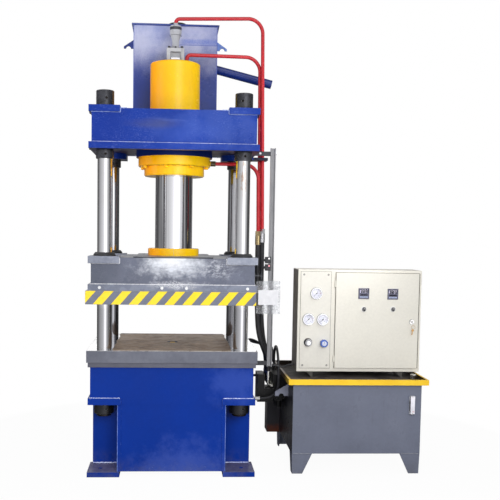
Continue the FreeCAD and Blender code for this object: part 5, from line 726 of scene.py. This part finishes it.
if set(NODES) - DRESSED:
    raise RuntimeError("no finish for " + ", ".join(sorted(set(NODES) - DRESSED)))


# ---- how the small pieces are shaped ----
FRONT = (0, -1, 0)
SMOOTH_ANGLE = math.radians(38)


def sleeve(points, radii, heading, around=16):
    """Rings p + r (cos a u + sin a v) with u and v square to the heading, joined up and capped flat."""
    ahead = np.asarray(heading) / np.linalg.norm(heading)
    side = np.cross(np.eye(3)[np.argmin(np.abs(ahead))], ahead)
    side /= np.linalg.norm(side)
    turn = 2 * np.pi * np.arange(around) / around
    spoke = np.outer(np.cos(turn), side) + np.outer(np.sin(turn), np.cross(ahead, side))
    radii = np.broadcast_to(radii, len(points))[:, None, None]
    verts = (np.asarray(points)[:, None] + radii * spoke).reshape(-1, 3)
    ring, step = np.indices((len(points) - 1, around))
    here, beside = ring * around + step, ring * around + (step + 1) % around
    quads = np.stack((here, beside, beside + around, here + around), -1).reshape(-1, 4)
    last = (len(points) - 1) * around
    return verts, quads.tolist() + [list(range(around))[::-1], list(range(last, last + around))]


def lathe(place, outline, around=32, axis=FRONT):
    """Turned shell: outline of (distance along the axis, radius) about a line through a place."""
    heights, radii = np.transpose(outline)
    return sleeve(np.asarray(place) + np.outer(heights, axis), radii, axis, around)


def hoop(place, radius, thickness, around=48, section=8, axis=FRONT):
    """Closed ring of round wire: centre + (R + r cos b) spoke + r sin b axis."""
    side = np.cross(axis, (0, 0, 1) if abs(axis[2]) < .9 else (0, 1, 0))
    i, j = np.indices((around, section))
    a, b = 2 * np.pi * i[..., None] / around, 2 * np.pi * j[..., None] / section
    spoke = np.cos(a) * side + np.sin(a) * np.cross(axis, side)
    verts = (radius + thickness * np.cos(b)) * spoke + thickness * np.sin(b) * np.asarray(axis)
    here, along = i * section + j, (i + 1) % around * section + j
    up, across = i * section + (j + 1) % section, (i + 1) % around * section + (j + 1) % section
    return verts.reshape(-1, 3) + place, np.stack((here, along, across, up), -1).reshape(-1, 4).tolist()


def block(x0, x1, y0, y1, z0, z1, x=0, z=0):
    """Box between three pairs of planes, carried by x and z."""
    verts = np.array([(a + x, b, c + z) for c in (z0, z1) for b in (y0, y1) for a in (x0, x1)])
    return verts, [[0, 2, 3, 1], [4, 5, 7, 6], [0, 1, 5, 4], [2, 6, 7, 3], [0, 4, 6, 2], [1, 3, 7, 5]]


def swung(shell, x, z, degrees):
    """Shell turned about the line through x and z, anticlockwise as seen from the front."""
    verts, faces = shell
    centre = np.array((x, 0, z))
    cos, sin = math.cos(math.radians(degrees)), math.sin(math.radians(degrees))
    return (verts - centre) @ np.array(((cos, 0, sin), (0, 1, 0), (-sin, 0, cos))) + centre, faces


def numeral(text, size, place):
    """Raised figure that faces the front, centred on a place."""
    curve = bpy.data.curves.new("figure", "FONT")
    curve.body = text
    curve.size = size
    curve.extrude = .0001
    curve.resolution_u = 3
    curve.align_x = curve.align_y = "CENTER"
    draft = bpy.data.objects.new("figure", curve)
    mesh = bpy.data.meshes.new_from_object(draft)
    verts = np.empty(len(mesh.vertices) * 3)
    mesh.vertices.foreach_get("co", verts)
    x, y, z = verts.reshape(-1, 3).T
    faces = [list(polygon.vertices) for polygon in mesh.polygons]
    bpy.data.objects.remove(draft)
    bpy.data.meshes.remove(mesh)
    return np.stack((x, -z, y), -1) + np.asarray(place), faces


def piece(name, shells, material, body="root"):
    """One object from closed shells, riding on a body."""
    faces, first = [], 0
    for verts, shell_faces in shells:
        faces += [[first + index for index in face] for face in shell_faces]
        first += len(verts)
    mesh = bpy.data.meshes.new(name)
    mesh.from_pydata(np.concatenate([verts for verts, shell_faces in shells]).tolist(), [], faces)
    mesh.polygons.foreach_set("use_smooth", [True] * len(mesh.polygons))
    mesh.set_sharp_from_angle(angle=SMOOTH_ANGLE)
    mesh.materials.append(material)
    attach(show(name, mesh), body)


# ---- weld beads, their crests with painted glints ----
BEAD_PITCH = .009
WELD_PAINT = (.02, .065, .38)
WELD_BLUE = weld_finish("weld_blue", WELD_PAINT, (.75, .8, .97), 1)


def bead(start, end, radius):
    """Straight weld: r(s) = R (0.8 + 0.2 |sin(pi s / pitch)|) along the run."""
    start, run = np.asarray(start), np.subtract(end, start)
    length = np.linalg.norm(run)
    along = np.linspace(0, 1, max(4, int(length / BEAD_PITCH * 4)))
    radii = radius * (.8 + .2 * np.abs(np.sin(np.pi * along * length / BEAD_PITCH)))
    radii[0] = radii[-1] = radius * .4
    return sleeve(start + np.outer(along, run), radii, run, 7)


def frame_beads(half_x, half_y, z, radius):
    """Beads along the four sides of a level rectangle about the middle."""
    corners = [(-half_x, -half_y, z), (half_x, -half_y, z), (half_x, half_y, z), (-half_x, half_y, z)]
    return [bead(a, b, radius) for a, b in zip(corners, corners[1:] + corners[:1])]


def four_beads(start, end, radius):
    """A bead and its mirror images at the four corners of the press."""
    return [bead(np.multiply(start, (x, y, 1)), np.multiply(end, (x, y, 1)), radius)
            for x in (-1, 1) for y in (-1, 1)]


def pad_beads(x, y, inner_x, inner_y, low, high, radius=.004):
    """Beads under and beside the pad at each corner, on the faces that the pads stand on."""
    beside, behind = (inner_x, y, low), (x, inner_y, low)
    return (four_beads(beside, (x, y, low), radius) + four_beads(behind, (x, y, low), radius)
            + four_beads(beside, (inner_x, y, high), radius) + four_beads(behind, (x, inner_y, high), radius))


piece("crown_welds", frame_beads(.523, .434, 2.149, .005), WELD_BLUE)
piece("crown_pad_welds", pad_beads(.524, .434, .342, .236, 2.337, 2.362, .0036)
      + four_beads((.3, .4325, 2.362), (.523, .4325, 2.362), .0035),
      weld_finish("weld_blue_patchy", WELD_PAINT, (.42, .52, .86), .9))
piece("bed_welds", pad_beads(.528, .428, .336, .213, .5145, .5155)
      + four_beads((.336, .428, .472), (.336, .428, .514), .0035)
      + four_beads((.352, .226, .034), (.526, .226, .034), .0045), WELD_BLUE)
piece("bed_upright_welds", four_beads((.35, .4265, .033), (.35, .4265, .471), .0026),
      weld_finish("weld_blue_dull", WELD_PAINT, (.2, .3, .72), 1))
piece("slider_welds", frame_beads(.526, .4335, 1.2515, .0042)
      + pad_beads(.525, .4335, .342, .236, 1.384, 1.4215, .0036),
      weld_finish("weld_grey", (.24, .25, .31), (.95, .95, .97), 1), "ram")
rim = [(x, y, 2.363) for y in (.186, .436) for x in (-.295, .295)]
piece("top_tank_welds", [bead(rim[a], rim[b], .005) for a, b in ((0, 1), (2, 3), (0, 2), (1, 3))], WELD_BLUE)
piece("tank_welds", [bead((x, y, .1352), (x + .12, y, .1352), .003) for x in (.8, 1.53)
                     for y in (-.376, .376)], weld_finish("weld_tank", (.1, .11, .15), (.32, .33, .36), .6))

# ---- gauges ----
GAUGES = {"top": (.9804, 1.184), "left": (.9294, 1.006), "right": (1.0276, 1.005)}
DIAL_START, DIAL_SWEEP, DIAL_STEPS, FIGURE_RADIUS = 225, 270, 40, .0186
f = Finish("dial_face")
f.set(Base_Color=f.mottle((.8, .79, .88), (.9, .89, .95), .3, .7, 30, 4), Specular_IOR_Level=.2,
      Roughness=f.patch(.3, .7, 50, 3, start=.35, end=.5), Normal=f.relief(f.noise(600, 2), .0001, None, .2))
DIAL_FACE = f.material
DIAL_INK = plain("dial_ink", (.1, .1, .14), .5)
DIAL_RED = plain("dial_red_mark", (.55, .05, .05), .5)
GAUGE_GLASS = clear_glass("gauge_glass", (.97, .98, 1))
BEZEL_LINE = plain("bezel_groove", (.16, .16, .19), .4, .6)


def dial_marks(x, z):
    """Scale of forty divisions over 270 degrees, figures at each eighth one inside their ticks."""
    marks = [hoop((x, -.14556, z), .0285, .00025, 48, 4)]
    for step in range(DIAL_STEPS + 1):
        degrees = DIAL_START - step * DIAL_SWEEP / DIAL_STEPS
        inner, half = (.0262, .00026) if step % 4 else (.0238, .0005)
        marks.append(swung(block(inner, .029, -.1457, -.1454, -half, half, x, z), x, z, degrees))
        if step % 8 == 0:
            turn = math.radians(degrees)
            place = (x + FIGURE_RADIUS * math.cos(turn), -.1456, z + FIGURE_RADIUS * math.sin(turn))
            marks.append(numeral(str(step), .0062, place))
    return marks


for side, (x, z) in GAUGES.items():
    piece("gauge_dial_" + side, [lathe((x, -.1451, z), ((0, .0336), (.0003, .0336)), 48)], DIAL_FACE)
    piece("gauge_scale_" + side, dial_marks(x, z), DIAL_INK)
    limit = block(.0225, .03, -.1458, -.1455, -.0007, .0007, x, z)
    piece("gauge_limit_mark_" + side, [swung(limit, x, z, 9)], DIAL_RED)
    piece("gauge_glass_" + side, [lathe((x, -.1524, z), ((0, .0338), (.0012, .0338)), 48)], GAUGE_GLASS)
    piece("gauge_bezel_groove_" + side, [hoop((x, -.1411, z), .0412, .0009, 56, 6),
                                         hoop((x, -.154, z), .0345, .0005, 56, 6)], BEZEL_LINE)

# ---- meters and switches on the door ----
METERS = {"left": (1.305, 1.188), "right": (1.5067, 1.186)}
SEGMENTS = {"0": "abcdef", "1": "bc", "2": "abged", "5": "afgcd", "8": "abcdefg"}
FIGURE_FACE = (-.1582, -.1577)
METER_DARK = plain("meter_window_dark", (.16, .16, .23), .3)
METER_HIGH = plain("meter_figures_upper", (.86, .82, .98), .4, glow=.9)
METER_LOW = plain("meter_figures_lower", (.78, .75, .95), .4, glow=.8)
METER_KEYS = plain("meter_keys", (.42, .52, .74), .4)
METER_LABEL = plain("meter_band", (.44, .43, .55), .45)


def figure_bars(digit, x, z, wide, high):
    """Lit bars of one seven-bar figure, its lower left corner at x and z."""
    thick, half = high * .12, high / 2
    level = {"a": high, "g": half, "d": 0}
    post = {"f": (0, half), "b": (wide, half), "e": (0, 0), "c": (wide, 0)}
    return [block(thick, wide - thick, *FIGURE_FACE, -thick / 2, thick / 2, x, z + level[bar]) if bar in level
            else block(-thick / 2, thick / 2, *FIGURE_FACE, thick * .7, half - thick * .7,
                       x + post[bar][0], z + post[bar][1]) for bar in SEGMENTS[digit]]


def figures(digits, x, z, pitch, wide, high):
    """A row of seven-bar figures."""
    return [bar for place, digit in enumerate(digits)
            for bar in figure_bars(digit, x + place * pitch, z, wide, high)]


for side, (x, z) in METERS.items():
    piece("meter_window_" + side, [block(-.0296, .0296, -.1578, -.1575, .0034, .0296, x, z)],
          METER_DARK, "door")
    piece("meter_upper_figures_" + side, figures("0250", x - .016, z + .0185, .0112, .0072, .0088),
          METER_HIGH, "door")
    piece("meter_lower_figures_" + side, figures("0180", x - .012, z + .0062, .0098, .006, .0072),
          METER_LOW, "door")
    piece("meter_lamps_" + side, [block(-.0265, -.0215, *FIGURE_FACE, low, low + .004, x, z)
                                  for low in (.0065, .0135, .0205)], METER_LOW, "door")
    piece("meter_keys_" + side, [block(-.026, -.0155, -.1607, -.1598, -.027, -.02, x + step * .0138, z)
                                 for step in range(4)], METER_KEYS, "door")
    piece("meter_band_" + side, [block(-.027, .027, -.1603, -.1598, -.0125, -.0045, x, z)],
          METER_LABEL, "door")

SWITCHES = {"l": (1.3086, 1.0805), "r": (1.5106, 1.0817)}
PLATE_WHITE = plain("switch_plate_white", (.82, .82, .8), .4)
MARK_HIGHLIGHT_WHITE = plain("switch_mark_white", (.85, .85, .85), .45)
for side, (x, z) in SWITCHES.items():
    piece("selector_plate_" + side, [lathe((x, -.1529, z), ((0, .0195), (.0006, .0195), (.0009, .0188)), 48)],
          PLATE_WHITE, "door")
    # a white index line on each grip, also standing as painted highlight
    piece("selector_highlight_mark_" + side, [block(-.0009, .0009, -.175, -.1745, .001, .0115, x, z)],
          MARK_HIGHLIGHT_WHITE, "selector_" + side)

# ---- panel and door outlines, knobs, lock ----
THROTTLE, REGULATOR, LOCK = (.9295, .8474), (1.0363, .8433), (1.645, .995)
SEAL_RUBBER = moulded("door_seal_rubber", (.16, .145, .125), .6).material
KNOB_DARK = plain("knob_groove_dark", (.03, .03, .036), .35)
KEY_BRASS = bright_steel("key_brass", (.5, .3, .12), .3, marks=.5).material


def outline_frame(x0, x1, z0, z1, width):
    """Narrow frame outside a rectangle."""
    return [block(a, b, -.1402, -.1379, c, d) for a, b, c, d in (
        (x0 - width, x1 + width, z0 - width, z0), (x0 - width, x1 + width, z1, z1 + width),
        (x0 - width, x0, z0, z1), (x1, x1 + width, z0, z1))]


piece("door_seal", outline_frame(1.1137, 1.6893, .6717, 1.3283, .0026)
      + [block(1.6919, 1.6985, -.14, -.1379, .6717, 1.3283)], SEAL_RUBBER)
piece("panel_seal", outline_frame(.8728, 1.0812, .6693, 1.3337, .0018), SEAL_RUBBER)
x, z = THROTTLE
piece("throttle_knob_rings", [hoop((x, -.1745, z), .0175, .0022), hoop((x, -.15, z), .0238, .0016)],
      KNOB_DARK, "throttle")
piece("throttle_knob_cap", [lathe((x, -.1748, z), ((0, .0115), (.0012, .0115), (.0018, .0095)), 40)],
      plain("knob_cap_silver", (.86, .86, .88), .2, .9), "throttle")
piece("throttle_plate", [lathe((x, -.141, z), ((0, .029), (.0008, .029)), 48)], KNOB_DARK)
x, z = REGULATOR
piece("pressure_knob_cap", [lathe((x, -.1788, z), ((0, .0165), (.001, .0165), (.0018, .014)), 40)],
      plain("knob_cap_pale", (.62, .66, .8), .3), "regulator")
piece("pressure_knob_pointer", [block(-.0008, .0008, -.1812, -.18, .0007, .0147, x, z)],
      KNOB_DARK, "regulator")

# the ring in the key's bow, and a second key that hangs from it a little askew
x, z = LOCK
piece("key_ring", [hoop((x, -.1895, z - .033), .0125, .0008, 36, 6)], KEY_BRASS, "key")
bow = lathe((x, -.188, z - .055), ((0, .0085), (.0018, .0085)), 28)
bars = [block(*sides, -.1898, -.188, *ends, x, z - .025) for sides, ends in (
    ((-.0022, .0022), (-.062, -.037)), ((.002, .0052), (-.052, -.048)), ((.002, .0052), (-.059, -.055)))]
piece("spare_key", [swung(shell, x, z - .043, -12) for shell in [bow] + bars], KEY_BRASS, "key")
piece("lock_shade_ring", [hoop((x, -.1534, z), .0168, .0012, 48, 6)], KNOB_DARK, "door")

# ---- oil level gauge and the motor's fan cover ----
piece("level_gauge_cover", [block(1.5805, 1.609, -.3972, -.3955, .4065, .5245)],
      moulded("level_gauge_cover", (.8, .79, .86), .3).material)
piece("level_gauge_edge", [block(1.577, 1.5805, -.3972, -.3755, .405, .526),
                           block(1.5805, 1.609, -.3965, -.3945, .403, .4062)], KNOB_DARK)
piece("level_gauge_screws", [lathe((1.5948, -.3972, z), ((0, .0035), (.0012, .0035), (.0018, .0025)), 16)
                             for z in (.414, .5165)], ZINC)
piece("level_gauge_red_line", [block(1.5925, 1.606, -.3978, -.3972, .4215, .424)], DIAL_RED)

MOTOR_END = np.array((1.5935, .245, .763))
ALONG = (1, 0, 0)
# painted shade: dark rings for the shadowed slots in the fan cover
piece("motor_fan_slots", [hoop(MOTOR_END, radius, .003, 56, 6, ALONG) for radius in
                          (.032, .046, .06, .074, .088)], KNOB_DARK)
spokes = [np.array((0, math.cos(turn), math.sin(turn))) for turn in np.radians(range(0, 360, 45))]
hub = lathe((1.59, .245, .763), ((0, .024), (.0075, .024), (.009, .02)), axis=ALONG)
piece("motor_fan_spokes", [sleeve([MOTOR_END + away * .02, MOTOR_END + away * .096], .0042, away, 8)
                           for away in spokes] + [hub], MOTOR_GREY)

# ---- top of the machine ----
UP = (0, 0, 1)
VALVE_LINE = plain("valve_seam_black", (.02, .02, .026), .45)
piece("lid_filler_cap", [lathe((.013, .311, 3.052), ((0, .066), (.02, .066), (.024, .062)), 48, UP)],
      moulded("black_cover", (.016, .016, .022), .42).material)
piece("valve_recess_lines", [block(x0, x1, -.0556, -.0546, z0, z1) for x0, x1, z0, z1 in (
    (-.0342, -.0322, 2.751, 2.803), (.0322, .0342, 2.751, 2.803), (-.0342, .0342, 2.8005, 2.803),
    (.042, .0438, 2.751, 2.825))], VALVE_LINE)
piece("valve_recess_bar", [block(-.029, .029, -.05, -.03, 2.7495, 2.764)],
      bright_steel("plated_steel", (.8, .8, .82), .24, marks=.2).material)
piece("valve_port_plug", [lathe((0, -.0305, 2.836), ((0, .0075), (.004, .0075), (.005, .006)), 6)],
      VALVE_LINE)
piece("valve_cap_ring", [hoop((0, 0, 2.9725), .0385, .0022, axis=UP),
                         hoop((0, 0, 2.919), .0402, .0011, axis=UP)], VALVE_LINE)
for place, z, lamp in (("upper", 1.419, plain("lamp_clear", (.9, .9, .92), .15, glow=.4)),
                       ("lower", 1.369, plain("lamp_pink", (.9, .35, .4), .15, glow=.4))):
    piece("switch_lamp_" + place, [lathe((.65, -.1452, z), ((0, .006), (.0025, .006), (.004, .003)), 20)],
          lamp)

# ---- light, floor and backdrop ----
AMBIENT_LEVEL, AMBIENT_RIGHT, AMBIENT_DEPTH, AMBIENT_HIGH = .4, .09, .12, .12
MIRROR_PEAK = 2.2
# degrees to the right of the camera, seen from the press, and what a mirror sees there
MIRROR_STOPS = ((-180, .2), (-150, .13), (-110, .13), (-95, .26), (-87, .34), (-65, .52), (-46, .64),
                (-28, .74), (-12, .9), (0, 1.2), (10, 2), (24, 2.2), (34, 1.4), (42, .9), (52, .66), (62, .5),
                (72, .38), (80, .14), (92, .05), (104, .12), (125, .05), (145, .15), (165, .22), (180, .2))


def studio_world():
    """White for the camera and glass; a studio for mirrors; soft light, dimmer from the left, for surfaces."""
    scene.world = bpy.data.worlds.new("studio")
    scene.world.use_nodes = True
    scene.world.node_tree.nodes.clear()
    sky = Nodes(scene.world.node_tree)

    def glow(colour=(1, 1, 1), strength=1):
        return sky.add("Background", {"Color": colour, "Strength": strength}, 0)

    x, y, z = sky.add("SeparateXYZ", {0: sky.add("TexCoord", out="Generated")}).outputs
    ambient = sky.sum("MULTIPLY_ADD", x, AMBIENT_RIGHT, AMBIENT_LEVEL)
    ambient = sky.sum("MULTIPLY_ADD", sky.sum("ABSOLUTE", y), AMBIENT_DEPTH, ambient)
    ambient = sky.sum("MULTIPLY_ADD", z, AMBIENT_HIGH, ambient)
    angle = sky.sum("ARCTAN2", x, sky.sum("MULTIPLY", y, -1))
    ramp = sky.add("ValToRGB", {"Fac": sky.sum("MULTIPLY_ADD", angle, .5 / math.pi, .5)})
    stops = ramp.color_ramp.elements
    stops[1].position = 1
    for degrees, level in MIRROR_STOPS:
        inner = -180 < degrees < 180
        stop = stops.new(degrees / 360 + .5) if inner else stops[0 if degrees < 0 else -1]
        level /= MIRROR_PEAK
        stop.color = (level, level, min(1, level * 1.02), 1)
    behind = sky.sum("GREATER_THAN", y, .93)
    rise = sky.sum("MINIMUM", sky.sum("MAXIMUM", sky.sum("MULTIPLY_ADD", z, 50, -5.4)), 1)
    overhead = sky.sum("COMPARE", z, .64, .11)
    level = sky.sum("ADD", sky.times(behind, rise), sky.times(overhead, 1.1))
    path = sky.add("LightPath").outputs
    seen = sky.sum("MAXIMUM", path["Is Camera Ray"], path["Is Transmission Ray"])
    mirrored = sky.add("AddShader", {0: glow(ramp.outputs["Color"], MIRROR_PEAK), 1: glow(strength=level)}, 0)
    surfaces = sky.add("MixShader", {0: path["Is Glossy Ray"], 1: glow(strength=ambient), 2: mirrored}, 0)
    sky.add("OutputWorld", {"Surface": sky.add("MixShader", {0: seen, 1: surfaces, 2: glow()}, 0)})


studio_world()


def area_light(name, place, target, size, power, cone=180):
    """Square soft lamp that looks at a point, with the light kept inside a cone."""
    data = bpy.data.lights.new(name, "AREA")
    data.spread = math.radians(cone)
    data.size = size
    data.energy = power
    lamp = show(name, data)
    lamp.location = place
    lamp.rotation_mode = "QUATERNION"
    lamp.rotation_quaternion = (Vector(target) - Vector(place)).to_track_quat("-Z", "Y")
    lamp.visible_glossy = lamp.visible_camera = False


area_light("key_softbox", (1.15, -4.7, 2.45), (.3, 0, 1.5), 2, 112)
area_light("low_fill", (-.7, -4.4, .95), (.1, 0, 1.6), 1.6, 50)
area_light("left_rim", (-1.35, -.42, 2.5), (-.17, 0, 2.5), .9, 9)
area_light("right_rim", (1.45, -.42, 2.55), (.17, 0, 2.55), .7, 4)
area_light("ring_front", (.1, -2.6, 1.25), (0, -.2, 2.03), .25, .17, 18)
area_light("ring_left", (-1.5, -.6, 1.8), (-.2, 0, 2.03), .5, 7)
area_light("ring_right", (1.5, -.7, 1.8), (.2, 0, 2.03), .5, 5)
FLOOR_REACH, FLOOR_LEVEL = 40, -.0005
FLOOR_CORNERS = ((-1, -1), (1, -1), (1, 1), (-1, 1))


def studio_floor():
    """Pale floor that keeps the press's shadow; the camera sees it near white, and pure white farther off."""
    mesh = bpy.data.meshes.new("studio_floor")
    corners = [(x * FLOOR_REACH, y * FLOOR_REACH, FLOOR_LEVEL) for x, y in FLOOR_CORNERS]
    mesh.from_pydata(corners, [], [(0, 1, 2, 3)])
    show("studio_floor", mesh)
    f = Finish("studio_floor_paint")
    path = f.add("LightPath").outputs
    away = f.add("VectorMath", {0: f.place, 1: (.5, 0, 0)}, 0, operation="SUBTRACT")
    far = f.spread(f.add("VectorMath", {0: away}, "Value", operation="LENGTH"), .9, 2.4)
    f.set(Base_Color=f.tint(path["Is Camera Ray"], (.26, .26, .27), (.85, .85, .85)), Roughness=.9,
          Specular_IOR_Level=0)
    paint = f.shader.outputs[0]
    glow = f.add("Emission", {"Color": (1, 1, 1), "Strength": 1}, 0)
    seen = f.add("MixShader", {0: f.sum("MAXIMUM", far, .96), 1: paint, 2: glow}, 0)
    mirrored = f.add("MixShader", {0: f.times(far, path["Is Glossy Ray"]), 1: paint,
                                   2: f.add("BsdfTransparent", out=0)}, 0)
    pick = f.add("MixShader", {0: path["Is Camera Ray"], 1: mirrored, 2: seen}, 0)
    f.put(f.tree.nodes["Material Output"].inputs["Surface"], pick)
    mesh.materials.append(f.material)


studio_floor()
